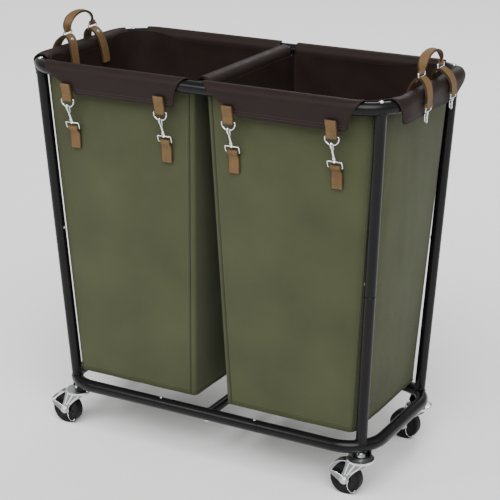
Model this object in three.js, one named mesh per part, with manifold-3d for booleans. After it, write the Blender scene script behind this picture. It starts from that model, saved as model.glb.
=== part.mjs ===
// Two-bag laundry sorter on casters. Millimetres, +Z up, front towards -Y, floor at Z = 0.
import * as THREE from 'three';
import Module from 'manifold-3d';

const wasm = await Module();
wasm.setup();

// ---------------------------------------------------------------- driving dimensions
const RAIL_R = 12.5; // outer radius of the base and top tubes
const POST_R = 11; // outer radius of the upright tubes
const BAR_R = 9.5; // outer radius of the cross-bars
const WALL = 1.3; // wall of every tube
const GAP = 0.3; // clearance between parts that touch
const CORNER_R = 75; // bend radius of the loops, on the tube's centreline
const BASE = { hx: 353, hy: 161, z: 106 }; // base loop centreline half sizes and height
const TOP = { hx: 390, hy: 188, z: 782 }; // top loop centreline half sizes and height
const SEAM_X = 119; // where the end bows meet the straight rails
const SEAM_Z = 422; // where lower and upper posts meet
const INSET = CORNER_R * (1 - Math.SQRT1_2); // from the loop's sides to the middle of its bend

const WHEEL_R = 31.5;
const WHEEL_W = 20;
const TRAIL = 29; // wheel centre behind the swivel axis
const FLANGE_Z = 82; // underside of the welded caster bracket

const FLAP_IN = 14; // inner radius of a flap folded over a rail
const FLAP_T = 2.5; // thickness of the folded flap
const RIM_Z = 763; // where bag and collar meet
const FLAP_Z = 741; // lower edge of the front and rear flaps
const SIDE_FLAP_Z = 751; // lower edge of the end flaps
const BAG_X = 180; // middle of each bag along X
const BAG_Z = 129; // underside of the bags
const BAG_TOP = { xi: 15.05, xo: 374.75, hy: 172.75, ri: 7, ro: 59.75 };
const BAG_LOW = { xi: 36, xo: 316, hy: 145, ri: 9, ro: 12 };
const TAB_U = 106; // the tabs, either side of a bag's middle
const TAB_W = 28;

const RING_Y = 44; // half distance between the two legs of a strap handle
const RING_Z = 821; // height of the handle's two rings
const STRAP_T = 4;

// ---------------------------------------------------------------- materials
const finish = (color, roughness, metalness) =>
  new THREE.MeshStandardMaterial({ color, roughness, metalness });
const BLACK_STEEL = finish(0x1b1c1e, 0.45, 0.3);
const CHROME = finish(0xd8dade, 0.18, 1.0);
const TYRE = finish(0x17181a, 0.6, 0.0);
const OLIVE = finish(0x585c40, 0.75, 0.0);
const BROWN = finish(0x463c3a, 0.65, 0.0);
const TAN = finish(0x9b7653, 0.65, 0.0);

// ---------------------------------------------------------------- solid helpers
const V = (x, y, z) => new THREE.Vector3(x, y, z);

/** A geometry from points and index triples, turned so that its faces point outward. */
function solid(points, faces) {
  let volume = 0;
  for (const [a, b, c] of faces) volume += points[a].dot(V(0, 0, 0).crossVectors(points[b], points[c]));
  const order = volume < 0 ? ([a, b, c]) => [a, c, b] : (face) => face;
  const geometry = new THREE.BufferGeometry();
  geometry.setAttribute('position', new THREE.Float32BufferAttribute(points.flatMap((p) => p.toArray()), 3));
  geometry.setIndex(faces.flatMap(order));
  return geometry;
}

/** Joins rings of equal length into a closed skin; flat ends unless the rings close on themselves. */
function loft(rings, capFaces, closed = false) {
  const n = rings[0].length;
  const faces = [];
  const last = closed ? rings.length : rings.length - 1;
  for (let i = 0; i < last; i++) {
    const a = i * n;
    const b = ((i + 1) % rings.length) * n;
    for (let j = 0; j < n; j++) {
      const k = (j + 1) % n;
      faces.push([a + j, b + j, b + k], [a + j, b + k, a + k]);
    }
  }
  if (!closed) {
    const end = (rings.length - 1) * n;
    for (const [p, q, r] of capFaces) faces.push([p, q, r], [end + p, end + r, end + q]);
  }
  return solid(rings.flat(), faces);
}

/** Sweeps a flat outline of [a, b] pairs through frames { o, u, v }. */
function sweep(frames, outline, closed = false) {
  const flat = outline.map(([a, b]) => new THREE.Vector2(a, b));
  const turn = THREE.ShapeUtils.isClockWise(flat) ? -1 : 1;
  const caps = THREE.ShapeUtils.triangulateShape(flat, []).map(([p, q, r]) => (turn > 0 ? [p, r, q] : [p, q, r]));
  const rings = frames.map(({ o, u, v }) =>
    outline.map(([a, b]) => o.clone().addScaledVector(u, a).addScaledVector(v, b)));
  return loft(rings, orient(caps, outline), closed);
}

/** Winds cap triangles against the order of the outline, so that caps and sides agree. */
function orient(caps, outline) {
  return caps.map(([p, q, r]) => {
    const [ax, ay] = outline[p];
    const [bx, by] = outline[q];
    const [cx, cy] = outline[r];
    const area = (bx - ax) * (cy - ay) - (cx - ax) * (by - ay);
    const whole = outline.reduce((sum, [x, y], i) => {
      const [nx, ny] = outline[(i + 1) % outline.length];
      return sum + x * ny - nx * y;
    }, 0);
    return area * whole > 0 ? [p, q, r] : [p, r, q];
  });
}

const circle = (radius, n = 10, turn = 0) =>
  Array.from({ length: n }, (_, i) => {
    const a = turn + (i / n) * 2 * Math.PI;
    return [radius * Math.cos(a), radius * Math.sin(a)];
  });

/** A round tube with open ends. */
function pipe(frames, radius, n = 10, wall = WALL) {
  const outer = circle(radius, n);
  const inner = circle(radius - wall, n);
  const ring = (outline) => ({ o, u, v }) =>
    outline.map(([a, b]) => o.clone().addScaledVector(u, a).addScaledVector(v, b));
  const skins = [...frames.map(ring(outer)), ...frames.map(ring(inner)).reverse()];
  return loft(skins, [], true);
}

const rod = (frames, radius, n = 10) => sweep(frames, circle(radius, n));

/** Frames along a straight line, square to it. */
function line(from, to) {
  const along = to.clone().sub(from).normalize();
  const side = Math.abs(along.z) > 0.9 ? V(1, 0, 0) : V(0, 0, 1);
  const u = side.clone().addScaledVector(along, -side.dot(along)).normalize();
  const v = V(0, 0, 0).crossVectors(along, u);
  return [{ o: from, u, v }, { o: to, u, v }];
}

const box = (x0, x1, y0, y1, z0, z1) =>
  new THREE.BoxGeometry(x1 - x0, y1 - y0, z1 - z0).translate((x0 + x1) / 2, (y0 + y1) / 2, (z0 + z1) / 2);

/** A prism whose outline lies in the X-Z plane, between two Y values. */
const prismY = (outline, y0, y1) =>
  sweep([{ o: V(0, y0, 0), u: V(1, 0, 0), v: V(0, 0, 1) }, { o: V(0, y1, 0), u: V(1, 0, 0), v: V(0, 0, 1) }], outline);

/** A prism whose outline lies in the Y-Z plane, between two X values. */
const prismX = (outline, x0, x1) =>
  sweep([{ o: V(x0, 0, 0), u: V(0, 1, 0), v: V(0, 0, 1) }, { o: V(x1, 0, 0), u: V(0, 1, 0), v: V(0, 0, 1) }], outline);

/** A prism whose outline lies in the X-Y plane, between two Z values. */
const prismZ = (outline, z0, z1) =>
  sweep([{ o: V(0, 0, z0), u: V(1, 0, 0), v: V(0, 1, 0) }, { o: V(0, 0, z1), u: V(1, 0, 0), v: V(0, 1, 0) }], outline);

const shift = (outline, da, db) => outline.map(([a, b]) => [a + da, b + db]);

function toManifold(geometry) {
  const plain = geometry.clone();
  plain.deleteAttribute('normal');
  plain.deleteAttribute('uv');
  const merged = mergePoints(plain);
  return new wasm.Manifold(new wasm.Mesh({ numProp: 3, vertProperties: merged.points, triVerts: merged.faces }));
}

/** Points that coincide become one, which a closed solid needs. */
function mergePoints(geometry) {
  const position = geometry.getAttribute('position');
  const index = geometry.getIndex();
  const seen = new Map();
  const points = [];
  const remap = [];
  for (let i = 0; i < position.count; i++) {
    const p = [position.getX(i), position.getY(i), position.getZ(i)];
    const key = p.map((value) => Math.round(value * 1e4)).join();
    if (!seen.has(key)) {
      seen.set(key, points.length / 3);
      points.push(...p);
    }
    remap.push(seen.get(key));
  }
  const order = index ? [...index.array] : position.array.map((_, i) => i).slice(0, position.count);
  return { points: new Float32Array(points), faces: new Uint32Array(order.map((i) => remap[i])) };
}

function fromManifold(manifold) {
  const mesh = manifold.getMesh();
  const geometry = new THREE.BufferGeometry();
  const points = new Float32Array((mesh.vertProperties.length / mesh.numProp) * 3);
  for (let i = 0; i < points.length / 3; i++) {
    for (let k = 0; k < 3; k++) points[3 * i + k] = mesh.vertProperties[i * mesh.numProp + k];
  }
  geometry.setAttribute('position', new THREE.BufferAttribute(points, 3));
  geometry.setIndex([...mesh.triVerts]);
  return geometry;
}

const join = (...parts) => fromManifold(parts.map(toManifold).reduce((a, b) => a.add(b)));
const cut = (body, ...tools) => fromManifold(tools.map(toManifold).reduce((a, b) => a.subtract(b), toManifold(body)));

const group = new THREE.Group();
function add(name, geometry, material) {
  geometry.computeVertexNormals();
  const mesh = new THREE.Mesh(geometry, material);
  mesh.name = name;
  group.add(mesh);
}

// ---------------------------------------------------------------- frame
/** Frames along one end bow of a loop, from the front seam to the rear seam. */
function bowFrames(loop, side, steps = 5, from = SEAM_X) {
  const { hx, hy, z } = loop;
  const at = (x, y, angle) => ({ o: V(side * x, y, z), u: V(side * Math.cos(angle), Math.sin(angle), 0), v: V(0, 0, 1) });
  const frames = [at(from, -hy, -Math.PI / 2)];
  for (const [cy, start] of [[-(hy - CORNER_R), -Math.PI / 2], [hy - CORNER_R, 0]]) {
    for (let i = 0; i <= steps; i++) {
      const a = start + (i / steps) * (Math.PI / 2);
      frames.push(at(hx - CORNER_R + CORNER_R * Math.cos(a), cy + CORNER_R * Math.sin(a), a));
    }
  }
  frames.push(at(from, hy, Math.PI / 2));
  return frames;
}

/** The post's point on a loop: the middle of a bend. */
const bend = (loop, sx, sy, z = loop.z) => V(sx * (loop.hx - INSET), sy * (loop.hy - INSET), z);

/** Turns and moves a geometry drawn about the Z axis to a caster place, X along the tube. */
function atCorner(geometry, sx, sy) {
  const place = bend(BASE, sx, sy, 0);
  return geometry.rotateZ(Math.atan2(sx, -sy)).translate(place.x, place.y, 0);
}

/** The welded bracket under a bend: a flange on two legs, with a hole for the kingpin. */
function casterBracket(sx, sy) {
  const flange = prismZ([[-27, -17], [27, -17], [27, 17], [-27, 17]], FLANGE_Z, FLANGE_Z + 3);
  const hole = prismZ(circle(5.6, 12), FLANGE_Z - 1, FLANGE_Z + 4);
  const legs = [-1, 1].map((s) => box(s * 25.5 - 1.5, s * 25.5 + 1.5, -17, 17, FLANGE_Z + 2, BASE.z));
  return atCorner(cut(join(flange, ...legs), hole), sx, sy);
}

function baseEnd(side) {
  const frames = bowFrames(BASE, side);
  const core = rod(frames, RAIL_R - 0.6);
  const brackets = [-1, 1].map((sy) => cut(casterBracket(side, sy), core));
  return join(pipe(frames, RAIL_R), ...brackets);
}

const topEnd = (side) => pipe(bowFrames(TOP, side), RAIL_R);

const straightRail = (loop, sy) => {
  const end = SEAM_X - GAP;
  return pipe(line(V(-end, sy * loop.hy, loop.z), V(end, sy * loop.hy, loop.z)), RAIL_R);
};

/** A cross-bar with its ends shaped to the two long rails. */
function crossbar(loop) {
  const bar = pipe(line(V(0, -loop.hy, loop.z), V(0, loop.hy, loop.z)), BAR_R);
  const rails = [-1, 1].map((sy) =>
    rod(line(V(-40, sy * loop.hy, loop.z), V(40, sy * loop.hy, loop.z)), RAIL_R + GAP));
  return cut(bar, ...rails);
}

/** Half a post: the point on its axis at a height, and its end shaped to the loop's bend. */
function postAt(sx, sy, z) {
  const t = (z - BASE.z) / (TOP.z - BASE.z);
  return bend(BASE, sx, sy).lerp(bend(TOP, sx, sy), t);
}

function post(loop, sx, sy, z0, z1) {
  const tube = pipe(line(postAt(sx, sy, z0), postAt(sx, sy, z1)), POST_R);
  return cut(tube, rod(bowFrames(loop, sx, 5, loop.hx - 160), RAIL_R + GAP));
}

// ---------------------------------------------------------------- casters
/** Swivel plate with the kingpin and its nut above the bracket. */
function casterPlate() {
  const z = FLANGE_Z - GAP;
  return join(
    prismZ(circle(27, 18), z - 3.5, z),
    prismZ(circle(5.2, 12), z - 1, FLANGE_Z + 9),
    prismZ(circle(8, 6), FLANGE_Z + 3 + GAP, FLANGE_Z + 9.5),
  );
}

const FORK_Z = FLANGE_Z - GAP - 3.5 - GAP; // top of the fork's crown

/** Fork: crown disc with two cheeks down to the axle, trailing towards -X. */
function casterFork() {
  const crown = prismZ(circle(25, 16), FORK_Z - 4, FORK_Z);
  const foot = Array.from({ length: 7 }, (_, i) => {
    const a = Math.PI + 0.35 + (i / 6) * 2.6;
    return [-TRAIL + 9 * Math.cos(a), WHEEL_R + 9 * Math.sin(a)];
  });
  const cheek = [[18, FORK_Z - 2], [-22, FORK_Z - 2], ...foot];
  const y = WHEEL_W / 2 + 2;
  const cheeks = [[-y - 2.5, -y], [y, y + 2.5]].map(([a, b]) => prismY(cheek, a, b));
  const bore = prismY(shift(circle(4.4, 12), -TRAIL, WHEEL_R), -20, 20);
  return cut(join(crown, ...cheeks), bore);
}

/** Wheel: hub, recessed web and tyre, about an axle along Y. */
function wheel() {
  const w = WHEEL_W / 2;
  const outline = [
    [4.5, -w - 1.4], [10, -w - 1.4], [11, -w + 2.5], [23, -w + 2.5], [25.5, -w], [WHEEL_R - 2, -w], [WHEEL_R, -w + 2.5],
    [WHEEL_R, w - 2.5], [WHEEL_R - 2, w], [25.5, w], [23, w - 2.5], [11, w - 2.5], [10, w + 1.4], [4.5, w + 1.4],
  ];
  const frames = Array.from({ length: 20 }, (_, i) => {
    const a = (i / 20) * 2 * Math.PI;
    return { o: V(-TRAIL, 0, WHEEL_R), u: V(Math.cos(a), 0, Math.sin(a)), v: V(0, 1, 0) };
  });
  return sweep(frames, outline, true);
}

/** Axle bolt: shank, six-sided head and nut. */
function axle() {
  const y = WHEEL_W / 2 + 4.5;
  const at = (radius, n) => shift(circle(radius, n), -TRAIL, WHEEL_R);
  return join(
    prismY(at(4.1, 12), -y - 3, y + 3),
    prismY(at(7, 6), -y - 4, -y - GAP),
    prismY(at(7, 6), y + GAP, y + 4),
  );
}

/** Brake pedal: a bent plate over the wheel, between the cheeks, with a foot tab behind. */
function brakePedal() {
  const spine = [[-19, 70.4], [-34, 69.6], [-47, 64.5], [-57, 55.5], [-66, 50.5]];
  const upper = spine.map(([x, z]) => [x, z + 1]);
  const lower = spine.map(([x, z]) => [x, z - 1]).reverse();
  const half = WHEEL_W / 2 + 1;
  return prismY([...upper, ...lower], -half, half);
}

function addCaster(tag, sx, sy, braked) {
  const place = bend(BASE, sx, sy, 0);
  const put = (geometry) => geometry.translate(place.x, place.y, 0);
  add(`caster_plate_${tag}`, put(casterPlate()), CHROME);
  add(`caster_fork_${tag}`, put(casterFork()), CHROME);
  add(`caster_wheel_${tag}`, put(wheel()), TYRE);
  add(`caster_axle_${tag}`, put(axle()), CHROME);
  if (braked) add(`brake_pedal_${tag}`, put(brakePedal()), CHROME);
}

// ---------------------------------------------------------------- bags
/** One level of a bag: a rounded rectangle of points, swelling slightly in the middle of its sides. */
function bagRing(side, f, inward, z) {
  const mix = (key) => BAG_TOP[key] + (BAG_LOW[key] - BAG_TOP[key]) * f;
  const nearer = side < 0 ? (FLAP_T + GAP) * (1 - f) : 0; // the left bag hangs closest to the cross-bar
  const [xi, xo, hy] = [mix('xi') - nearer + inward, mix('xo') - inward, mix('hy') - inward];
  const [ri, ro] = [mix('ri') - inward, mix('ro') - inward];
  const swell = Math.sin(Math.PI * Math.pow(Math.min(Math.max(f, 0), 1), 0.7));
  const corners = [[xo - ro, -(hy - ro), ro, -90], [xo - ro, hy - ro, ro, 0], [xi + ri, hy - ri, ri, 90], [xi + ri, -(hy - ri), ri, 180]];
  const puff = [8, 12, 3, 12]; // outer end, rear, inner, front
  const points = [];
  corners.forEach(([cx, cy, r, start], k) => {
    const steps = k < 2 ? 4 : 2;
    for (let i = 0; i <= steps; i++) {
      const a = ((start + (i / steps) * 90) * Math.PI) / 180;
      points.push([cx + r * Math.cos(a), cy + r * Math.sin(a)]);
    }
    const [nx, ny, nr, next] = corners[(k + 1) % 4];
    const a = (next * Math.PI) / 180;
    const [tx, ty] = [nx + nr * Math.cos(a), ny + nr * Math.sin(a)];
    const [sx, sy] = points[points.length - 1];
    for (let i = 1; i < 5; i++) {
      const s = i / 5;
      const out = puff[k] * swell * Math.sqrt(Math.sin(Math.PI * s));
      points.push([sx + (tx - sx) * s + out * Math.cos(a), sy + (ty - sy) * s + out * Math.sin(a)]);
    }
  });
  return points.map(([x, y]) => V(side * x, y, z));
}

function bagBlock(side, inward, z0, z1) {
  const levels = [0, 0.16, 0.36, 0.62, 0.92, 1];
  const rings = levels.map((t) => {
    const z = z1 + (z0 - z1) * t;
    return bagRing(side, (RIM_Z - z) / (RIM_Z - BAG_Z), inward, z);
  });
  const flat = rings[0].map((p) => [p.x, p.y]);
  const caps = THREE.ShapeUtils.triangulateShape(flat.map(([a, b]) => new THREE.Vector2(a, b)), []);
  return loft(rings, orient(caps, flat));
}

/** Y of a bag's front face where the lower tabs are sewn. */
const FACE_Y = 179;

/** Stiffened panel sewn into the bottom of a bag. */
const bagFloor = (side) => bagBlock(side, 0, BAG_Z, BAG_Z + 2.2);

/** Bag walls: a tapering sleeve with the four lower leather tabs sewn on. */
function bagBody(side) {
  const tabs = [];
  for (const sy of [-1, 1]) {
    for (const su of [-1, 1]) {
      const u = side * BAG_X + su * TAB_U;
      const y0 = sy * (FACE_Y - 7);
      const y1 = sy * (FACE_Y + 4);
      tabs.push(box(u - TAB_W / 2, u + TAB_W / 2, Math.min(y0, y1), Math.max(y0, y1), 626, 664));
    }
  }
  return cut(join(bagBlock(side, 0, BAG_Z + 2.5, RIM_Z), ...tabs), bagBlock(side, 2, BAG_Z - 3, RIM_Z + 5));
}

/** Outline of a flap over a tube: [outward, up] pairs, the inner leg first. */
function foldOutline(inner, innerZ, outerZ, loopZ, thickness = FLAP_T) {
  const arc = (radius, reverse) => {
    const points = Array.from({ length: 6 }, (_, i) => {
      const a = Math.PI - (i / 5) * Math.PI;
      return [radius * Math.cos(a), radius * Math.sin(a)];
    });
    return reverse ? points.reverse() : points;
  };
  return [
    [-inner - thickness, innerZ - loopZ], ...arc(inner + thickness, false), [inner + thickness, outerZ - loopZ],
    [inner, outerZ - loopZ], ...arc(inner, true), [-inner, innerZ - loopZ],
  ];
}

/** Frames along a long rail under the front or rear flap, running a little round the outer bend. */
function longFlapFrames(side, sy) {
  const { hx, hy, z } = TOP;
  const frames = [{ o: V(side * 19, sy * hy, z), u: V(0, sy, 0), v: V(0, 0, 1) }];
  for (let i = 0; i <= 2; i++) {
    const a = (i / 2) * (22 * Math.PI / 180);
    frames.push({
      o: V(side * (hx - CORNER_R + CORNER_R * Math.sin(a)), sy * (hy - CORNER_R + CORNER_R * Math.cos(a)), z),
      u: V(side * Math.sin(a), sy * Math.cos(a), 0), v: V(0, 0, 1),
    });
  }
  return frames;
}

function endFlapFrames(side) {
  const { hx, hy, z } = TOP;
  const angles = [-25, -12.5, 0, 0, 12.5, 25].map((d) => (d * Math.PI) / 180);
  return angles.map((a, i) => {
    const cy = i < 3 ? -(hy - CORNER_R) : hy - CORNER_R;
    return {
      o: V(side * (hx - CORNER_R + CORNER_R * Math.cos(a)), cy + CORNER_R * Math.sin(a), z),
      u: V(side * Math.cos(a), Math.sin(a), 0), v: V(0, 0, 1),
    };
  });
}

/** The upright band that joins the four flaps along the bag's rim. */
function rimBand(side) {
  const at = (z, grow) => bagRing(side, 0, grow, z);
  const outer = [at(RIM_Z + GAP, -1.3), at(TOP.z, -1.3)];
  const inner = [at(TOP.z, 1.3), at(RIM_Z + GAP, 1.3)];
  return loft([...outer, ...inner], [], true);
}

/** Upper leather tab with its D-ring, on a long flap's lower edge. */
function upperTab(u, sy) {
  const y = sy * (TOP.hy + FLAP_IN + FLAP_T);
  const span = (a, b) => [Math.min(y + sy * a, y + sy * b), Math.max(y + sy * a, y + sy * b)];
  const tab = box(u - TAB_W / 2, u + TAB_W / 2, ...span(-1, 3), 727, 760);
  const arc = (w, h) => Array.from({ length: 9 }, (_, i) => {
    const a = Math.PI + (i / 8) * Math.PI;
    return [u + w * Math.cos(a), 725 + h * Math.sin(a)];
  });
  const outline = [[u + 12.5, 730], [u - 12.5, 730], ...arc(12.5, 13)];
  const hole = [[u + 9.5, 726.9], [u - 9.5, 726.9], ...arc(9.5, 10)];
  return [tab, cut(prismY(outline, ...span(-0.7, 2.3)), prismY(hole, ...span(-4, 6)))];
}

const END_RING_X = TOP.hx + FLAP_IN + FLAP_T + 0.7; // the end rings lie on the end flap's outer face

/** Small D-ring under an end flap, for the handle's hook. */
function endRing(side, y) {
  const x = side * END_RING_X;
  const outline = [[y - 7, SIDE_FLAP_Z + 2], [y + 7, SIDE_FLAP_Z + 2], [y + 7, 742], [y + 4, 739], [y - 4, 739], [y - 7, 742]];
  const hole = [[y - 4.8, SIDE_FLAP_Z + 0.2], [y + 4.8, SIDE_FLAP_Z + 0.2], [y + 4.8, 743], [y + 3, 741.2], [y - 3, 741.2], [y - 4.8, 743]];
  return cut(prismX(outline, x - 0.9, x + 0.9), prismX(hole, x - 4, x + 4));
}

/** Collar: four flaps folded over the rails, joined by the rim band, with tabs and D-rings. */
function collar(side) {
  const u = V(side, 0, 0);
  const reach = TOP.hy - 30;
  const over = side < 0 ? BAR_R + 1.5 : BAR_R + 1.5 + FLAP_T + GAP;
  const outline = foldOutline(over, RIM_Z + 6, RIM_Z + 2, TOP.z);
  const inner = sweep([-1, 1].map((s) => ({ o: V(0, s * reach, TOP.z), u: u.clone().negate(), v: V(0, 0, 1) })), outline);
  const long = foldOutline(FLAP_IN, RIM_Z + 6, FLAP_Z, TOP.z);
  const short = foldOutline(FLAP_IN, RIM_Z + 6, SIDE_FLAP_Z, TOP.z);
  const flaps = [inner, sweep(endFlapFrames(side), short), ...[-1, 1].map((sy) => sweep(longFlapFrames(side, sy), long))];
  const extras = [];
  for (const sy of [-1, 1]) for (const s of [-1, 1]) extras.push(...upperTab(side * BAG_X + s * TAB_U, sy));
  for (const sy of [-1, 1]) extras.push(endRing(side, sy * HOOK_Y));
  const body = cut(join(rimBand(side), ...flaps), ...flapCuts(side));
  return join(body, ...extras);
}

/** Wedges that give the hanging flaps their slanted ends. */
function flapCuts(side) {
  const [zTop, zLow] = [TOP.z + 6, FLAP_Z - 1];
  const tools = [];
  for (const sy of [-1, 1]) {
    const y = [sy * (TOP.hy + 4), sy * (TOP.hy + 40)].sort((a, b) => a - b);
    const c = side * BAG_X;
    tools.push(prismY([[c - 175, zTop], [c - 163, zTop], [c - 88, zLow], [c - 175, zLow]], ...y));
    tools.push(prismY([[c + 175, zTop], [c + 175, zLow], [c + 138, zLow], [c + 160, zTop]], ...y));
  }
  const x = [side * (TOP.hx + 2), side * (TOP.hx + 40)].sort((a, b) => a - b);
  tools.push(prismX([[170, zTop], [150, zTop], [88, SIDE_FLAP_Z - 1], [170, SIDE_FLAP_Z - 1]], ...x));
  tools.push(prismX([[-170, zTop], [-170, SIDE_FLAP_Z - 1], [-138, SIDE_FLAP_Z - 1], [-150, zTop]], ...x));
  return tools;
}

// ---------------------------------------------------------------- snap hooks
/**
 * Snap hook drawn from its pivot: X across, Y towards the opening, Z along the hook.
 * A rectangular eye, a swivel barrel, a shank and a round hook open on one side.
 */
function snapHook(length, eyeW, eyeH, wire, hookR, slot) {
  const eye = cut(
    box(-eyeW / 2, eyeW / 2, -wire / 2, wire / 2, -wire / 2, eyeH),
    box(-eyeW / 2 + wire, eyeW / 2 - wire, -wire, wire, wire / 2, eyeH - wire),
  );
  const barrel = prismZ(circle(wire * 1.15, 6), eyeH - wire / 2, eyeH + (length - hookR - eyeH) * 0.3);
  const shank = box(-wire * 0.5, wire * 0.5, -wire * 0.5, wire * 0.5, eyeH, length - hookR * 0.6);
  const mouth = [];
  const lip = Math.asin(slot / hookR);
  for (let i = 0; i <= 8; i++) {
    const a = lip + (i / 8) * (2 * Math.PI - 2 * lip);
    mouth.push([hookR * Math.cos(a), length + hookR * Math.sin(a)]);
  }
  mouth.push([-0.5, length - slot], [-0.5 - slot, length], [-0.5, length + slot]);
  return join(eye, barrel, shank, prismX(mouth, -wire * 0.55, wire * 0.55));
}

const HOOK_FOOT = { y: FACE_Y + 6, z: 668 }; // pivot in the lower tab's fold
const HOOK_EYE = { y: TOP.hy + FLAP_IN + FLAP_T + 0.8, z: 713.5 }; // lower bar of the D-ring
const HOOK_TILT = Math.atan2(HOOK_EYE.y - HOOK_FOOT.y, HOOK_EYE.z - HOOK_FOOT.z);
const HOOK_LEN = Math.hypot(HOOK_EYE.y - HOOK_FOOT.y, HOOK_EYE.z - HOOK_FOOT.z);

function flapHook(u, sy) {
  const hook = snapHook(HOOK_LEN, 22, 12, 3, 8, 2.7);
  if (sy > 0) hook.rotateZ(Math.PI);
  return hook.rotateX(-sy * HOOK_TILT).translate(u, sy * HOOK_FOOT.y, HOOK_FOOT.z);
}

const HOOK_Y = 58; // the handle's hooks, either side of its middle
const LEG_X = TOP.hx + 22; // outer legs hang just outside the end flap
const LEG_Z = 770; // lower end of the outer legs

function handleHook(side, sy) {
  const [x0, z0] = [LEG_X, LEG_Z - 3];
  const [x1, z1] = [END_RING_X, 740.1];
  const hook = snapHook(Math.hypot(x1 - x0, z1 - z0), 15, 7.5, 2, 4.6, 1.7);
  const tilt = Math.atan2(x0 - x1, z0 - z1);
  hook.rotateZ(-Math.PI / 2).rotateY(Math.PI + tilt);
  if (side < 0) hook.rotateZ(Math.PI);
  return hook.translate(side * x0, sy * HOOK_Y, z0);
}

// ---------------------------------------------------------------- strap handles
/** Inverted-Y saddle over the end rail: outer leg, crown under the ring, inner leg into the bag. */
function saddle(side, sy) {
  const path = [
    [LEG_X, HOOK_Y, LEG_Z], [LEG_X - 0.5, 56, 786], [407, 51, 801], [397.5, 46, 812], [390, RING_Y, 816.5],
    [383.5, RING_Y, 812], [375, 46, 801], [370.2, 51, 786], [367.5, 54, 748],
  ].map(([x, y, z]) => V(side * x, sy * y, z));
  const frames = path.map((o, i) => {
    const along = path[Math.min(i + 1, path.length - 1)].clone().sub(path[Math.max(i - 1, 0)]).normalize();
    const u = V(0, 1, 0).addScaledVector(along, -along.y).normalize();
    return { o, u, v: V(0, 0, 0).crossVectors(along, u) };
  });
  return sweep(frames, [[-12, -STRAP_T / 2], [12, -STRAP_T / 2], [12, STRAP_T / 2], [-12, STRAP_T / 2]]);
}

/** Arch of the strap handle, turning flat over the top. */
function handleLoop(side) {
  const low = RING_Z + 2.5;
  const path = [[-RING_Y, low], [-RING_Y, low + 8]];
  for (let i = 1; i < 12; i++) {
    const a = Math.PI - (i / 12) * Math.PI;
    path.push([RING_Y * Math.cos(a), low + 8 + 25 * Math.sin(a)]);
  }
  path.push([RING_Y, low + 8], [RING_Y, low]);
  const points = path.map(([y, z]) => V(side * TOP.hx, y, z));
  const frames = points.map((o, i) => {
    const along = points[Math.min(i + 1, points.length - 1)].clone().sub(points[Math.max(i - 1, 0)]).normalize();
    const flat = V(0, 0, 0).crossVectors(along, V(1, 0, 0));
    const turn = Math.sin((i / (points.length - 1)) * Math.PI) * (Math.PI / 2);
    const u = flat.multiplyScalar(Math.cos(turn)).addScaledVector(V(1, 0, 0), Math.sin(turn));
    return { o, u, v: V(0, 0, 0).crossVectors(along, u) };
  });
  return sweep(frames, [[-11, -STRAP_T / 2], [11, -STRAP_T / 2], [11, STRAP_T / 2], [-11, STRAP_T / 2]]);
}

// ---------------------------------------------------------------- assembly
const SIDES = [['left', -1], ['right', 1]];
const DEPTHS = [['front', -1], ['rear', 1]];

for (const [end, sx] of SIDES) {
  add(`base_end_${end}`, baseEnd(sx), BLACK_STEEL);
  add(`top_end_${end}`, topEnd(sx), BLACK_STEEL);
}
for (const [face, sy] of DEPTHS) {
  add(`base_rail_${face}`, straightRail(BASE, sy), BLACK_STEEL);
  add(`top_rail_${face}`, straightRail(TOP, sy), BLACK_STEEL);
}
add('base_crossbar', crossbar(BASE), BLACK_STEEL);
add('top_crossbar', crossbar(TOP), BLACK_STEEL);

for (const [face, sy] of DEPTHS) {
  for (const [end, sx] of SIDES) {
    const tag = `${face}_${end}`;
    add(`post_lower_${tag}`, post(BASE, sx, sy, BASE.z, SEAM_Z - GAP / 2), BLACK_STEEL);
    add(`post_upper_${tag}`, post(TOP, sx, sy, SEAM_Z + GAP / 2, TOP.z), BLACK_STEEL);
    addCaster(tag, sx, sy, sy < 0);
  }
}

for (const [end, side] of SIDES) {
  add(`bag_${end}`, bagBody(side), OLIVE);
  add(`bag_floor_${end}`, bagFloor(side), OLIVE);
  add(`collar_${end}`, collar(side), BROWN);
  add(`handle_loop_${end}`, handleLoop(side), TAN);
  for (const [face, sy] of DEPTHS) {
    add(`handle_saddle_${end}_${face}`, saddle(side, sy), TAN);
    add(`handle_hook_${end}_${face}`, handleHook(side, sy), CHROME);
    for (const [place, s] of SIDES) {
      add(`snap_hook_${end}_${face}_${place}`, flapHook(side * BAG_X + s * TAB_U, sy), CHROME);
    }
  }
}

export default group;
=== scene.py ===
"""Two-bag laundry sorter on casters: the surfaces that are seen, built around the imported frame.

Lengths in this file are millimetres unless a property says otherwise; meshes are made in metres.
"""

import math

import bmesh
import bpy
from bpy.props import FloatProperty, FloatVectorProperty, IntProperty, PointerProperty
from mathutils import Matrix, Vector, noise


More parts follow.
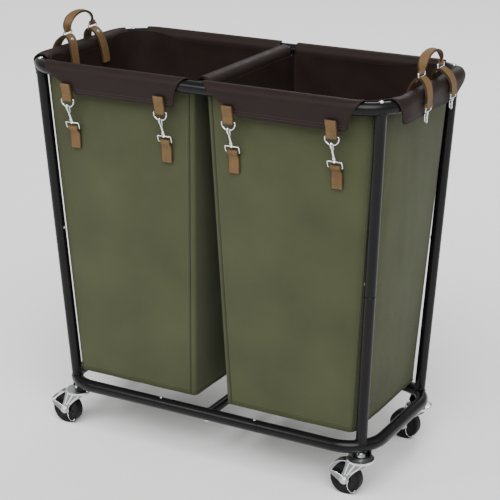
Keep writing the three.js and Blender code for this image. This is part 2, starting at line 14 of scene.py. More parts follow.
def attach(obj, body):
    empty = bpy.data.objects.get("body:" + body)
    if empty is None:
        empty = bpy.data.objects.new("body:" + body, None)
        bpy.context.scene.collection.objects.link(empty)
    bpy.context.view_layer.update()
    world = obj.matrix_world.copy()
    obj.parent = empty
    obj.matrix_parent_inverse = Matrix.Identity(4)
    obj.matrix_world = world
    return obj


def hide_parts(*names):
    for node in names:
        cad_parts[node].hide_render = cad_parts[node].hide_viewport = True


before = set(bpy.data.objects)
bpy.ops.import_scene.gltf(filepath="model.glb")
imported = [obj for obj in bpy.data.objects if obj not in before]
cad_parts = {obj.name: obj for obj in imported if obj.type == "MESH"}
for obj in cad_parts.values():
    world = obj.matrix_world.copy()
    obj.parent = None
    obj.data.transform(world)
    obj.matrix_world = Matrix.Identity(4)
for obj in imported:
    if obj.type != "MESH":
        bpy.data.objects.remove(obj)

bl_info = {
    "name": "Laundry Sorter",
    "version": (1, 0, 0),
    "blender": (4, 5, 0),
    "location": "3D View > Sidebar > Sorter",
    "description": "Builds a two-bag laundry sorter on casters around its packed frame",
    "category": "Object",
}

MM = 0.001
X, Y, Z = Vector((1, 0, 0)), Vector((0, 1, 0)), Vector((0, 0, 1))
SIDES = (("left", -1), ("right", 1))
DEPTHS = (("front", -1), ("rear", 1))

# The frame's own dimensions, as its tubes, casters and sewn parts are laid out.
RAIL_R, POST_R, BAR_R, WALL = 12.5, 11.0, 9.5, 1.3
CORNER_R = 75.0
BASE = {"hx": 353.0, "hy": 161.0, "z": 106.0}
TOP = {"hx": 390.0, "hy": 188.0, "z": 782.0}
SEAM_X, SEAM_Z = 119.0, 422.0
INSET = CORNER_R * (1 - math.sqrt(0.5))
WHEEL_R, WHEEL_W, TRAIL = 31.5, 20.0, 29.0
RIM_Z, BAG_Z, BAG_X = 763.0, 129.0, 180.0
BAG_TOP = {"xi": 15.05, "xo": 374.75, "hy": 172.75, "ri": 7.0, "ro": 59.75}
BAG_LOW = {"xi": 36.0, "xo": 316.0, "hy": 145.0, "ri": 9.0, "ro": 12.0}
TAB_U = 106.0
HOOK_FOOT = (183.0, 668.0)
RING_Y, RING_Z = 44.0, 821.0
LEG_X, LEG_Z, HOOK_Y = 412.0, 770.0, 58.0


# ------------------------------------------------------------------ properties
def length(name, default, description):
    return FloatProperty(name=name, description=description, default=default * MM, unit="LENGTH", precision=4)


def colour(name, default, description):
    return FloatVectorProperty(name=name, description=description, default=default, size=3, min=0, max=1,
                               subtype="COLOR")


class SorterSizes(bpy.types.PropertyGroup):
    """Sizes of the sewn and pressed detail"""

    cloth: length("Bag cloth", 1.8, "Thickness of the coated bag cloth and its lining")
    flap: length("Flap", 2.2, "Thickness of the folded rim flaps")
    flap_drop: length("Flap drop", 741.0, "Height of the long flaps' lower edge above the floor")
    tab_width: length("Tab width", 23.5, "Width of the leather tabs")
    leather: length("Leather", 2.1, "Thickness of one layer of leather")
    strap_width: length("Strap width", 25.0, "Width of the handle straps")
    arch_width: length("Arch width", 17.5, "Width of the handle's arch")
    wire: length("Ring wire", 1.3, "Radius of the D-ring and hook wire")
    stitch: length("Stitch", 2.6, "Length of one stitch")
    stitch_pitch: length("Stitch pitch", 3.9, "Distance from one stitch to the next")
    thread: length("Thread", 0.42, "Radius of the sewing thread")
    stud: length("Stud", 3.4, "Radius of the spring buttons and rivets")
    tube_sides: IntProperty(name="Tube sides", description="Facets round a tube", default=40, min=12, max=96)


class SorterColours(bpy.types.PropertyGroup):
    """Colours of the finishes"""

    steel: colour("Steel", (0.0040, 0.0041, 0.0044), "Powder-coated tube")
    chrome: colour("Chrome", (0.78, 0.785, 0.79), "Plated hooks, rings and casters")
    olive: colour("Olive", (0.057, 0.063, 0.031), "Bag cloth")
    lining: colour("Lining", (0.42, 0.34, 0.23), "Cloth inside the bags")
    brown: colour("Brown", (0.0180, 0.0112, 0.0096), "Rim flaps")
    tan: colour("Tan", (0.142, 0.086, 0.038), "Leather straps and tabs")
    rubber: colour("Rubber", (0.0045, 0.0045, 0.0048), "Tyres")
    floor: colour("Floor", (0.93, 0.93, 0.93), "Studio floor")


def sizes():
    return bpy.context.scene.sorter_sizes


def size(name):
    """A size from the panel, in millimetres."""
    return getattr(sizes(), name) / MM


# ------------------------------------------------------------------ finishes
class Finish:
    """A node material made step by step around one Principled shader."""

    def __init__(self, name, **values):
        self.material = bpy.data.materials.new(name)
        self.material.use_nodes = True
        self.tree = self.material.node_tree
        self.tree.nodes.clear()
        output = self.tree.nodes.new("ShaderNodeOutputMaterial")
        self.shader = self.tree.nodes.new("ShaderNodeBsdfPrincipled")
        self.tree.links.new(self.shader.outputs[0], output.inputs[0])
        self.place = self.tree.nodes.new("ShaderNodeTexCoord").outputs["Object"]
        self.height = None
        for socket, value in values.items():
            self.shader.inputs[socket.replace("_", " ")].default_value = value

    def node(self, kind, inputs, **settings):
        made = self.tree.nodes.new(kind)
        for key, value in settings.items():
            setattr(made, key, value)
        for key, value in inputs.items():
            if isinstance(value, bpy.types.NodeSocket):
                self.tree.links.new(value, made.inputs[key])
            else:
                made.inputs[key].default_value = value
        return made

    def math(self, operation, a, b=0.0):
        return self.node("ShaderNodeMath", {0: a, 1: b}, operation=operation).outputs[0]

    def noise(self, scale, detail=3.0, roughness=0.5, stretch=(1, 1, 1)):
        place = self.node("ShaderNodeMapping", {"Vector": self.place, "Scale": stretch}).outputs[0]
        return self.node("ShaderNodeTexNoise", {"Vector": place, "Scale": scale, "Detail": detail,
                                                "Roughness": roughness}).outputs["Fac"]

    def between(self, value, low, high):
        """Moves a 0 to 1 value into low to high."""
        return self.node("ShaderNodeMapRange", {"Value": value, "From Min": 0.3, "From Max": 0.7,
                                                "To Min": low, "To Max": high}).outputs[0]

    def mix(self, factor, a, b):
        made = self.tree.nodes.new("ShaderNodeMix")
        made.data_type = "RGBA"
        for index, value in ((0, factor), (6, a), (7, b)):
            if isinstance(value, bpy.types.NodeSocket):
                self.tree.links.new(value, made.inputs[index])
            else:
                made.inputs[index].default_value = value if index == 0 else (*value[:3], 1.0)
        return made.outputs[2]

    def set(self, socket, value):
        self.tree.links.new(value, self.shader.inputs[socket])

    def bump(self, value, depth, strength=1.0):
        """Adds a relief; depth is in metres."""
        inputs = {"Height": value, "Distance": depth, "Strength": strength}
        if self.height:
            inputs["Normal"] = self.height
        self.height = self.node("ShaderNodeBump", inputs).outputs[0]
        self.set("Normal", self.height)

    def wave(self, direction, pitch):
        """A sine along a direction, with a pitch in metres."""
        along = self.node("ShaderNodeVectorMath", {0: self.place, 1: direction}, operation="DOT_PRODUCT")
        return self.math("SINE", self.math("MULTIPLY", along.outputs["Value"], 2 * math.pi / pitch))


def shade(base, amount):
    return tuple(min(1.0, c * amount) for c in base)


def cloth_finish(name, base, pitch, sheen, spread=0.14):
    """Woven cloth: crossed threads, a slow change of tone and a little fuzz."""
    f = Finish(name, Sheen_Weight=sheen, Sheen_Roughness=0.5, Specular_IOR_Level=0.12)
    threads = f.math("MULTIPLY", f.wave((1, 1, 0), pitch), f.wave((0, 0, 1), pitch))
    slow = f.noise(7.0, 3.0, 0.55)
    fine = f.noise(420.0, 2.0, 0.6, (1, 1, 0.8))
    tone = f.mix(f.between(slow, 0.0, 1.0), shade(base, 1 - spread), shade(base, 1 + spread))
    tone = f.mix(f.between(fine, 0.0, 0.22), tone, shade(base, 0.82))
    f.set("Base Color", tone)
    f.set("Roughness", f.between(fine, 0.6, 0.76))
    f.bump(threads, 0.00016, 0.5)
    f.bump(f.noise(28.0, 3.0, 0.5), 0.0022, 0.22)
    return f.material


def leather_finish(name, base, cell, low, high, spread=0.22, fibre=False):
    """Grained leather: small cells, tone that wanders, and worn paler places."""
    f = Finish(name, Specular_IOR_Level=0.13)
    cells = f.node("ShaderNodeTexVoronoi", {"Vector": f.place, "Scale": cell}, feature="DISTANCE_TO_EDGE")
    slow = f.noise(22.0, 4.0, 0.6)
    fine = f.noise(420.0 if not fibre else 160.0, 3.0, 0.65, (1, 1, 0.3) if fibre else (1, 1, 1))
    tone = f.mix(f.between(slow, 0.0, 1.0), shade(base, 1 - spread), shade(base, 1 + spread))
    tone = f.mix(f.between(fine, 0.0, 0.4), tone, shade(base, 0.6 if fibre else 0.8))
    f.set("Base Color", tone)
    f.set("Roughness", f.between(slow, low, high))
    f.bump(cells.outputs["Distance"], 0.00025, 0.35)
    f.bump(fine, 0.0003, 0.3)
    return f.material


def metal_finish(name, base, low, high, metallic=1.0, grain=90.0, relief=0.00002):
    f = Finish(name, Metallic=metallic)
    marks = f.noise(grain, 4.0, 0.6)
    f.set("Base Color", f.mix(f.between(marks, 0.0, 1.0), shade(base, 0.92), base))
    f.set("Roughness", f.between(marks, low, high))
    f.bump(f.noise(1400.0, 2.0), relief, 0.3)
    return f.material


def powder_finish(name, base):
    """Powder coat: a fine orange-peel skin on black."""
    f = Finish(name, Specular_IOR_Level=0.2)
    peel = f.noise(1500.0, 2.0, 0.5)
    slow = f.noise(14.0, 3.0, 0.5)
    f.set("Base Color", f.mix(f.between(slow, 0.0, 1.0), shade(base, 0.85), shade(base, 1.25)))
    f.set("Roughness", f.between(slow, 0.24, 0.33))
    f.bump(peel, 0.00012, 0.16)
    return f.material


def rubber_finish(name, base, low, high, scale=300.0):
    f = Finish(name, Specular_IOR_Level=0.18)
    dust = f.noise(scale, 3.0, 0.6)
    slow = f.noise(26.0, 2.0, 0.5)
    f.set("Base Color", f.mix(f.between(slow, 0.0, 0.6), base, shade(base, 2.6)))
    f.set("Roughness", f.between(dust, low, high))
    f.bump(dust, 0.0002, 0.25)
    return f.material


def thread_finish(name, base):
    f = Finish(name, Roughness=0.7, Sheen_Weight=0.2)
    twist = f.wave((1, 1, 1), 0.0009)
    f.set("Base Color", f.mix(f.math("MULTIPLY_ADD", twist, 0.5), shade(base, 0.8), base))
    f.bump(twist, 0.0001, 0.4)
    return f.material


def finish(name):
    """One of the object's finishes, made the first time it is asked for."""
    if name in bpy.data.materials:
        return bpy.data.materials[name]
    c = bpy.context.scene.sorter_colours
    makers = {
        "powder coat": lambda: powder_finish(name, tuple(c.steel)),
        "chrome": lambda: metal_finish(name, shade(c.chrome, 0.66), 0.05, 0.13),
        "zinc plate": lambda: metal_finish(name, shade(c.chrome, 0.8), 0.3, 0.46, grain=260.0),
        # darkened steel: painted shade on the fork and lever plates, beside chrome ribs and rims as painted
        # highlight
        "pressed steel painted shade": lambda: metal_finish(name, shade(c.chrome, 0.34), 0.26, 0.42, grain=160.0,
                                              relief=0.00005),
        "olive cloth": lambda: cloth_finish(name, tuple(c.olive), 0.0011, 0.04),
        # welt cloth darkened to 0.72 of the olive: painted shade along the corner and floor seams
        "olive welt painted shade": lambda: cloth_finish(name, shade(c.olive, 0.72), 0.0009, 0.04),
        "lining cloth": lambda: cloth_finish(name, tuple(c.lining), 0.0010, 0.15, 0.08),
        "brown flap": lambda: leather_finish(name, tuple(c.brown), 620.0, 0.46, 0.6, 0.12),
        "tan leather": lambda: leather_finish(name, tuple(c.tan), 520.0, 0.48, 0.62, 0.2, True),
        "leather edge": lambda: leather_finish(name, shade(c.tan, 0.34), 900.0, 0.5, 0.7, 0.25, True),
        "leather border": lambda: leather_finish(name, shade(c.tan, 0.6), 520.0, 0.5, 0.66, 0.2, True),
        "rubber": lambda: rubber_finish(name, tuple(c.rubber), 0.5, 0.68),
        "hub plastic": lambda: rubber_finish(name, shade(c.rubber, 1.5), 0.3, 0.42, 700.0),
        "tan thread": lambda: thread_finish(name, shade(c.tan, 1.5)),
        "brown thread": lambda: thread_finish(name, shade(c.brown, 2.0)),
        "olive thread": lambda: thread_finish(name, shade(c.olive, 1.5)),
    }
    return makers[name]()


# ------------------------------------------------------------------ shapes
class Shape:
    """Points in millimetres, faces, and a finish index for each face."""

    def __init__(self):
        self.points, self.faces, self.finish = [], [], []

    def add(self, points, faces, marks):
        base = len(self.points)
        self.points += points
        self.faces += [[base + i for i in face] for face in faces]
        self.finish += marks

    def loft(self, rings, mark=0, around=True, loop=False, ends=True):
        """Joins rings of equal length; mark is one finish index or one for each strip round the ring."""
        n = len(rings[0])
        strips = n if around else n - 1
        last = len(rings) if loop else len(rings) - 1
        marks = mark if isinstance(mark, (list, tuple)) else [mark] * strips
        faces, given = [], []
        for i in range(last):
            a, b = i * n, ((i + 1) % len(rings)) * n
            for j in range(strips):
                k = (j + 1) % n
                faces.append((a + j, a + k, b + k, b + j))
                given.append(marks[j])
        if ends and not loop:
            end = (len(rings) - 1) * n
            faces += [tuple(range(n))[::-1], tuple(range(end, end + n))]
            given += [marks[0], marks[0]]
        self.add([p for ring in rings for p in ring], faces, given)

    def sweep(self, frames, outline, mark=0, loop=False, scales=None):
        rings = []
        for i, (o, u, v) in enumerate(frames):
            s = scales[i] if scales else 1.0
            rings.append([o + u * (a * s) + v * (b * s) for a, b in outline])
        self.loft(rings, mark, loop=loop)

    def wire(self, path, radius, n=12, mark=0, loop=False, squash=1.0, first=None, taper=None):
        """A round or oval rod along a path, with domed ends."""
        outline = [(a, b * squash) for a, b in circle(radius, n)]
        if loop:
            self.sweep(along(path, first, True), outline, mark, loop=True)
            return
        head = (path[1] - path[0]).normalized() * radius
        tail = (path[-1] - path[-2]).normalized() * radius
        points = [path[0] - head * t for t in (0.95, 0.7, 0.35)] + list(path)
        points += [path[-1] + tail * t for t in (0.35, 0.7, 0.95)]
        scales = [0.31, 0.71, 0.94] + (taper or [1.0] * len(path)) + [0.94, 0.71, 0.31]
        if taper:
            scales[-3:] = [s * taper[-1] for s in scales[-3:]]
        self.sweep(along(points, first), outline, mark, scales=scales)

    def lathe(self, profile, place, n=32, mark=0, loop=False):
        """Turns [radius, height] pairs about a frame's own Z."""
        rings = []
        for r, h in profile:
            rings.append([place @ Vector((r * math.cos(a), r * math.sin(a), h)) for a in turns(n)])
        spans = len(profile) if loop else len(profile) - 1
        marks = mark if isinstance(mark, (list, tuple)) else [mark] * spans
        closed = rings + [rings[0]] if loop else rings
        for i in range(len(closed) - 1):
            self.loft([closed[i], closed[i + 1]], marks[i], ends=False)

    def plate(self, outline, place, low, high, chamfer=0.4, mark=0, edge=None):
        """A flat plate with eased edges: outline in a frame's XY, thickness along its Z."""
        inner = inset(outline, chamfer)
        rings = [(inner, low), (outline, low + chamfer), (outline, high - chamfer), (inner, high)]
        rings = [[place @ Vector((a, b, h)) for a, b in ring] for ring, h in rings]
        self.loft(rings, mark if edge is None else edge, ends=False)
        n = len(outline)
        self.add(rings[0] + rings[-1], [tuple(range(n))[::-1], tuple(range(n, 2 * n))], [mark, mark])

    def sheet(self, grid, thickness, mark=0, edge=None):
        """Gives a grid of points a thickness, with rounded borders."""
        rows, cols = len(grid), len(grid[0])
        normals = grid_normals(grid)
        half = [[(thickness(i, j) if callable(thickness) else thickness) / 2 for j in range(cols)]
                for i in range(rows)]
        front = [[grid[i][j] + normals[i][j] * half[i][j] for j in range(cols)] for i in range(rows)]
        back = [[grid[i][j] - normals[i][j] * half[i][j] for j in range(cols)] for i in range(rows)]
        border = [(0, j) for j in range(cols)] + [(i, cols - 1) for i in range(1, rows)]
        border += [(rows - 1, j) for j in range(cols - 2, -1, -1)] + [(i, 0) for i in range(rows - 2, 0, -1)]
        points = [p for row in front for p in row] + [p for row in back for p in row]
        offset = rows * cols
        faces = []
        for i in range(rows - 1):
            for j in range(cols - 1):
                a, b, c, d = i * cols + j, i * cols + j + 1, (i + 1) * cols + j + 1, (i + 1) * cols + j
                faces += [(a, b, c, d), (offset + d, offset + c, offset + b, offset + a)]
        marks = [mark] * len(faces)
        rim = len(points)
        for i, j in border:
            inside = grid[min(max(i, 1), rows - 2)][min(max(j, 1), cols - 2)]
            out = grid[i][j] - inside
            points.append(grid[i][j] + out.normalized() * half[i][j] * 0.7)
        m = len(border)
        for k in range(m):
            (i, j), (p, q) = border[k], border[(k + 1) % m]
            a, b, r, s = i * cols + j, p * cols + q, rim + k, rim + (k + 1) % m
            faces += [(a, b, s, r), (r, s, offset + b, offset + a)]
            marks += [mark if edge is None else edge] * 2
        self.add(points, faces, marks)


def turns(n, start=0.0):
    return [start + 2 * math.pi * i / n for i in range(n)]


def circle(radius, n=24, start=0.0):
    return [(radius * math.cos(a), radius * math.sin(a)) for a in turns(n, start)]


def rounded(width, height, radius, n=4):
    """A rounded rectangle as [a, b] pairs, anticlockwise."""
    points = []
    for cx, cy, start in ((1, -1, -90), (1, 1, 0), (-1, 1, 90), (-1, -1, 180)):
        for i in range(n + 1):
            a = math.radians(start + 90 * i / n)
            points.append((cx * (width / 2 - radius) + radius * math.cos(a),
                           cy * (height / 2 - radius) + radius * math.sin(a)))
    return points


def inset(outline, amount):
    """Moves an outline's points inward along the mean of their edges' normals."""
    n = len(outline)
    area = sum(outline[i][0] * outline[(i + 1) % n][1] - outline[(i + 1) % n][0] * outline[i][1]
               for i in range(n))
    turn = 1 if area > 0 else -1
    moved = []
    for i in range(n):
        a, b, c = (Vector(outline[k % n]) for k in (i - 1, i, i + 1))
        d, e = (b - a), (c - b)
        d, e = (d.normalized() if d.length else e.normalized(),
                e.normalized() if e.length else d.normalized())
        inward = (Vector((-d.y, d.x)) + Vector((-e.y, e.x))) * turn
        inward = inward.normalized() if inward.length > 1e-6 else Vector((0, 0))
        moved.append((b.x + inward.x * amount, b.y + inward.y * amount))
    return moved


def along(path, first=None, closed=False):
    """Frames (point, u, v) carried along a path without twist."""
    n = len(path)
    tangents = []
    for i in range(n):
        a = path[(i - 1) % n] if closed or i else path[0]
        b = path[(i + 1) % n] if closed or i < n - 1 else path[-1]
        tangents.append((b - a).normalized())
    u = first or (X if abs(tangents[0].x) < 0.8 else Y)
    frames = []
    for o, t in zip(path, tangents):
        u = (u - t * u.dot(t)).normalized()
        frames.append((o, u, t.cross(u)))
    return frames


def curve(points, steps=8, closed=False):
    """A smooth path through points."""
    n = len(points)
    result = []
    for i in range(n if closed else n - 1):
        if closed:
            a, b, c, d = (points[(i + k) % n] for k in (-1, 0, 1, 2))
        else:
            a, b, c, d = points[max(i - 1, 0)], points[i], points[i + 1], points[min(i + 2, n - 1)]
        for s in range(steps):
            t = s / steps
            result.append(0.5 * (2 * b + (c - a) * t + (2 * a - 5 * b + 4 * c - d) * t * t
                                 + (3 * b - a - 3 * c + d) * t ** 3))
    if not closed:
        result.append(points[-1].copy())
    return result


def grid_normals(grid):
    rows, cols = len(grid), len(grid[0])
    normals = []
    for i in range(rows):
        line = []
        for j in range(cols):
            a = grid[min(i + 1, rows - 1)][j] - grid[max(i - 1, 0)][j]
            b = grid[i][min(j + 1, cols - 1)] - grid[i][max(j - 1, 0)]
            n = a.cross(b)
            line.append(n.normalized() if n.length > 1e-9 else Z.copy())
        normals.append(line)
    return normals


def place(origin, z, x):
    """A frame at a point, with its Z and X directions."""
    z = Vector(z).normalized()
    x = Vector(x)
    x = (x - z * x.dot(z)).normalized()
    y = z.cross(x)
    o = Vector(origin)
    return Matrix(((x.x, y.x, z.x, o.x), (x.y, y.y, z.y, o.y), (x.z, y.z, z.z, o.z), (0, 0, 0, 1)))


def piece(name, shape, body, finishes, replaces=(), angle=38):
    """Turns a shape into an object that rides on a body."""
    mesh = bpy.data.meshes.new(name)
    mesh.from_pydata([p * MM for p in shape.points], [], shape.faces)
    for label in finishes:
        mesh.materials.append(finish(label))
    mesh.polygons.foreach_set("material_index", shape.finish)
    work = bmesh.new()
    work.from_mesh(mesh)
    bmesh.ops.remove_doubles(work, verts=work.verts, dist=2e-6)
    bmesh.ops.recalc_face_normals(work, faces=work.faces)
    work.to_mesh(mesh)
    work.free()
    mesh.shade_smooth()
    mesh.set_sharp_from_angle(angle=math.radians(angle))
    obj = bpy.data.objects.new(name, mesh)
    bpy.context.scene.collection.objects.link(obj)
    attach(obj, body)
    if replaces:
        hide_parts(*replaces)
    return obj


# ------------------------------------------------------------------ scattered by nodes
def new_tree(name, sockets):
    tree = bpy.data.node_groups.new(name, "GeometryNodeTree")
    tree.interface.new_socket(name="Geometry", in_out="INPUT", socket_type="NodeSocketGeometry")
    for label, kind, default in sockets:
        socket = tree.interface.new_socket(name=label, in_out="INPUT", socket_type=kind)
        if default is not None:
            socket.default_value = default
    tree.interface.new_socket(name="Geometry", in_out="OUTPUT", socket_type="NodeSocketGeometry")
    return tree, tree.nodes.new("NodeGroupInput"), tree.nodes.new("NodeGroupOutput")


def stitch_tree():
    """Stitches laid end to end along every path of a wire mesh."""
    if "Stitch line" in bpy.data.node_groups:
        return bpy.data.node_groups["Stitch line"]
    tree, given, out = new_tree("Stitch line", (
        ("Pitch", "NodeSocketFloat", 0.0039), ("Stitch", "NodeSocketFloat", 0.0026),
        ("Thread", "NodeSocketFloat", 0.0004), ("Finish", "NodeSocketMaterial", None)))
    add, link = tree.nodes.new, tree.links.new
    path, spots = add("GeometryNodeMeshToCurve"), add("GeometryNodeCurveToPoints")
    spots.mode = "LENGTH"
    turn = add("FunctionNodeAlignRotationToVector")
    turn.axis = "Z"
    bead, shaped = add("GeometryNodeMeshUVSphere"), add("GeometryNodeTransform")
    bead.inputs["Segments"].default_value = 6
    bead.inputs["Rings"].default_value = 5
    bead.inputs["Radius"].default_value = 1.0
    half, scale = add("ShaderNodeMath"), add("ShaderNodeCombineXYZ")
    half.operation = "MULTIPLY"
    half.inputs[1].default_value = 0.5
    put, real = add("GeometryNodeInstanceOnPoints"), add("GeometryNodeRealizeInstances")
    smooth, paint = add("GeometryNodeSetShadeSmooth"), add("GeometryNodeSetMaterial")
    link(given.outputs["Geometry"], path.inputs[0])
    link(path.outputs[0], spots.inputs["Curve"])
    link(given.outputs["Pitch"], spots.inputs["Length"])
    link(given.outputs["Stitch"], half.inputs[0])
    link(given.outputs["Thread"], scale.inputs["X"])
    link(given.outputs["Thread"], scale.inputs["Y"])
    link(half.outputs[0], scale.inputs["Z"])
    link(bead.outputs["Mesh"], shaped.inputs["Geometry"])
    link(scale.outputs[0], shaped.inputs["Scale"])
    link(spots.outputs["Tangent"], turn.inputs["Vector"])
    link(spots.outputs["Points"], put.inputs["Points"])
    link(shaped.outputs[0], put.inputs["Instance"])
    link(turn.outputs[0], put.inputs["Rotation"])
    link(put.outputs[0], real.inputs[0])
    link(real.outputs[0], smooth.inputs[0])
    link(smooth.outputs[0], paint.inputs["Geometry"])
    link(given.outputs["Finish"], paint.inputs["Material"])
    link(paint.outputs[0], out.inputs[0])
    return tree


def stud_tree():
    """Domed studs on a rim, one on each point, standing along the point's own direction."""
    if "Studs" in bpy.data.node_groups:
        return bpy.data.node_groups["Studs"]
    tree, given, out = new_tree("Studs", (
        ("Radius", "NodeSocketFloat", 0.0034), ("Height", "NodeSocketFloat", 0.0016),
        ("Rim", "NodeSocketFloat", 0.0006), ("Finish", "NodeSocketMaterial", None)))
    add, link = tree.nodes.new, tree.links.new
    facing = add("GeometryNodeInputNamedAttribute")
    facing.data_type = "FLOAT_VECTOR"
    facing.inputs["Name"].default_value = "out"
    turn = add("FunctionNodeAlignRotationToVector")
    turn.axis = "Z"
    dome, size_of = add("GeometryNodeMeshUVSphere"), add("ShaderNodeCombineXYZ")
    shaped = add("GeometryNodeTransform")
    dome.inputs["Segments"].default_value = 18
    dome.inputs["Rings"].default_value = 10
    dome.inputs["Radius"].default_value = 1.0
    rim, wide = add("GeometryNodeMeshCylinder"), add("ShaderNodeMath")
    rim.inputs["Vertices"].default_value = 18
    wide.operation = "MULTIPLY"
    wide.inputs[1].default_value = 1.18
    both, put = add("GeometryNodeJoinGeometry"), add("GeometryNodeInstanceOnPoints")
    real, paint = add("GeometryNodeRealizeInstances"), add("GeometryNodeSetMaterial")
    link(given.outputs["Radius"], size_of.inputs["X"])
    link(given.outputs["Radius"], size_of.inputs["Y"])
    link(given.outputs["Height"], size_of.inputs["Z"])
    link(dome.outputs["Mesh"], shaped.inputs["Geometry"])
    link(size_of.outputs[0], shaped.inputs["Scale"])
    link(given.outputs["Radius"], wide.inputs[0])
    link(wide.outputs[0], rim.inputs["Radius"])
    link(given.outputs["Rim"], rim.inputs["Depth"])
    link(shaped.outputs[0], both.inputs[0])
    link(rim.outputs["Mesh"], both.inputs[0])
    link(facing.outputs[0], turn.inputs["Vector"])
    link(given.outputs["Geometry"], put.inputs["Points"])
    link(both.outputs[0], put.inputs["Instance"])
    link(turn.outputs[0], put.inputs["Rotation"])
    link(put.outputs[0], real.inputs[0])
    link(real.outputs[0], paint.inputs["Geometry"])
    link(given.outputs["Finish"], paint.inputs["Material"])
    link(paint.outputs[0], out.inputs[0])
    return tree


def grow(name, source, tree, values, body, label, angle=40):
    """Runs a node tree on a source mesh and keeps the plain result as a piece."""
    holder = bpy.data.objects.new(name + "_source", source)
    bpy.context.scene.collection.objects.link(holder)
    modifier = holder.modifiers.new("Nodes", "NODES")
    modifier.node_group = tree
    named = {i.name: i.identifier for i in tree.interface.items_tree
             if i.item_type == "SOCKET" and i.in_out == "INPUT"}
    for key, value in values.items():
        modifier[named[key]] = value
    modifier[named["Finish"]] = finish(label)
    evaluated = holder.evaluated_get(bpy.context.evaluated_depsgraph_get())
    mesh = bpy.data.meshes.new_from_object(evaluated)
    mesh.name = name
    bpy.data.objects.remove(holder)
    if not mesh.polygons:
        raise RuntimeError(f"{name}: the node tree made nothing")
    mesh.shade_smooth()
    mesh.set_sharp_from_angle(angle=math.radians(angle))
    obj = bpy.data.objects.new(name, mesh)
    bpy.context.scene.collection.objects.link(obj)
    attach(obj, body)
    return obj


def stitches(name, paths, body, label, scale=1.0):
    points, edges = [], []
    for path in paths:
        base = len(points)
        points += [p * MM for p in path]
        edges += [(base + i, base + i + 1) for i in range(len(path) - 1)]
    mesh = bpy.data.meshes.new(name)
    mesh.from_pydata(points, edges, [])
    values = {"Pitch": sizes().stitch_pitch * scale, "Stitch": sizes().stitch * scale,
              "Thread": sizes().thread * scale}
    return grow(name, mesh, stitch_tree(), values, body, label)


def studs(name, spots, body, label, radius, height, rim=0.6):
    """spots are (point, direction) pairs."""
    mesh = bpy.data.meshes.new(name)
    mesh.from_pydata([p * MM for p, _ in spots], [], [])
    facing = mesh.attributes.new("out", "FLOAT_VECTOR", "POINT")
    facing.data.foreach_set("vector", [c for _, d in spots for c in Vector(d).normalized()])
    values = {"Radius": radius * MM, "Height": height * MM, "Rim": rim * MM}
    return grow(name, mesh, stud_tree(), values, body, label)


# ------------------------------------------------------------------ tubes
def bow_point(loop, side, d):
    """The end bow of a loop at a distance from the middle of its end: centre point and outward direction."""
    straight = loop["hy"] - CORNER_R
    quarter = CORNER_R * math.pi / 2
    sign = 1 if d >= 0 else -1
    d = abs(d)
    if d <= straight:
        x, y, nx, ny = loop["hx"], d, 1.0, 0.0
    elif d <= straight + quarter:
        a = (d - straight) / CORNER_R
        nx, ny = math.cos(a), math.sin(a)
        x, y = loop["hx"] - CORNER_R + CORNER_R * nx, straight + CORNER_R * ny
    else:
        x, y, nx, ny = loop["hx"] - CORNER_R - (d - straight - quarter), loop["hy"], 0.0, 1.0
    return Vector((side * x, sign * y, loop["z"])), Vector((side * nx, sign * ny, 0))


def bow_length(loop, x):
    """Distance along the bow from the middle of the end to a point on the long rail at x."""
    return loop["hy"] - CORNER_R + CORNER_R * math.pi / 2 + (loop["hx"] - CORNER_R - x)


def bow_path(loop, side, seam):
    far = bow_length(loop, seam)
    straight = loop["hy"] - CORNER_R
    quarter = CORNER_R * math.pi / 2
    marks = [0.0, straight] + [straight + quarter * i / 18 for i in range(1, 19)] + [far - 0.6, far]
    marks = sorted({-m for m in marks} | set(marks))
    return [bow_point(loop, side, d)[0] for d in marks]


def tube(shape, path, radius, wall=WALL, mark=0):
    """A hollow tube with eased ends."""
    n = sizes().tube_sides
    frames = along(path, Z if abs((path[1] - path[0]).normalized().z) < 0.8 else X)
    last = len(frames) - 1
    rings = []
    for i, (o, u, v) in enumerate(frames):
        r = radius - 0.5 if i in (0, last) else radius
        rings.append([o + u * a + v * b for a, b in circle(r, n)])
    for i, (o, u, v) in reversed(list(enumerate(frames))):
        rings.append([o + u * a + v * b for a, b in circle(radius - wall, n)])
    shape.loft(rings, mark, loop=True)


def straight(a, b, ease=0.6):
    """A path from a to b with a point just inside each end."""
    step = (b - a).normalized() * ease
    return [a, a + step, b - step, b]


def bend_point(loop, sx, sy, z=None):
    return Vector((sx * (loop["hx"] - INSET), sy * (loop["hy"] - INSET), loop["z"] if z is None else z))


def post_at(sx, sy, z):
    t = (z - BASE["z"]) / (TOP["z"] - BASE["z"])
    return bend_point(BASE, sx, sy).lerp(bend_point(TOP, sx, sy), t)


def loop_distance(loop, p):
    """How far a point is from a loop's centreline."""
    qx, qy = abs(p.x) - (loop["hx"] - CORNER_R), abs(p.y) - (loop["hy"] - CORNER_R)
    flat = math.hypot(max(qx, 0), max(qy, 0)) + min(max(qx, qy), 0) - CORNER_R
    return math.hypot(flat, p.z - loop["z"])


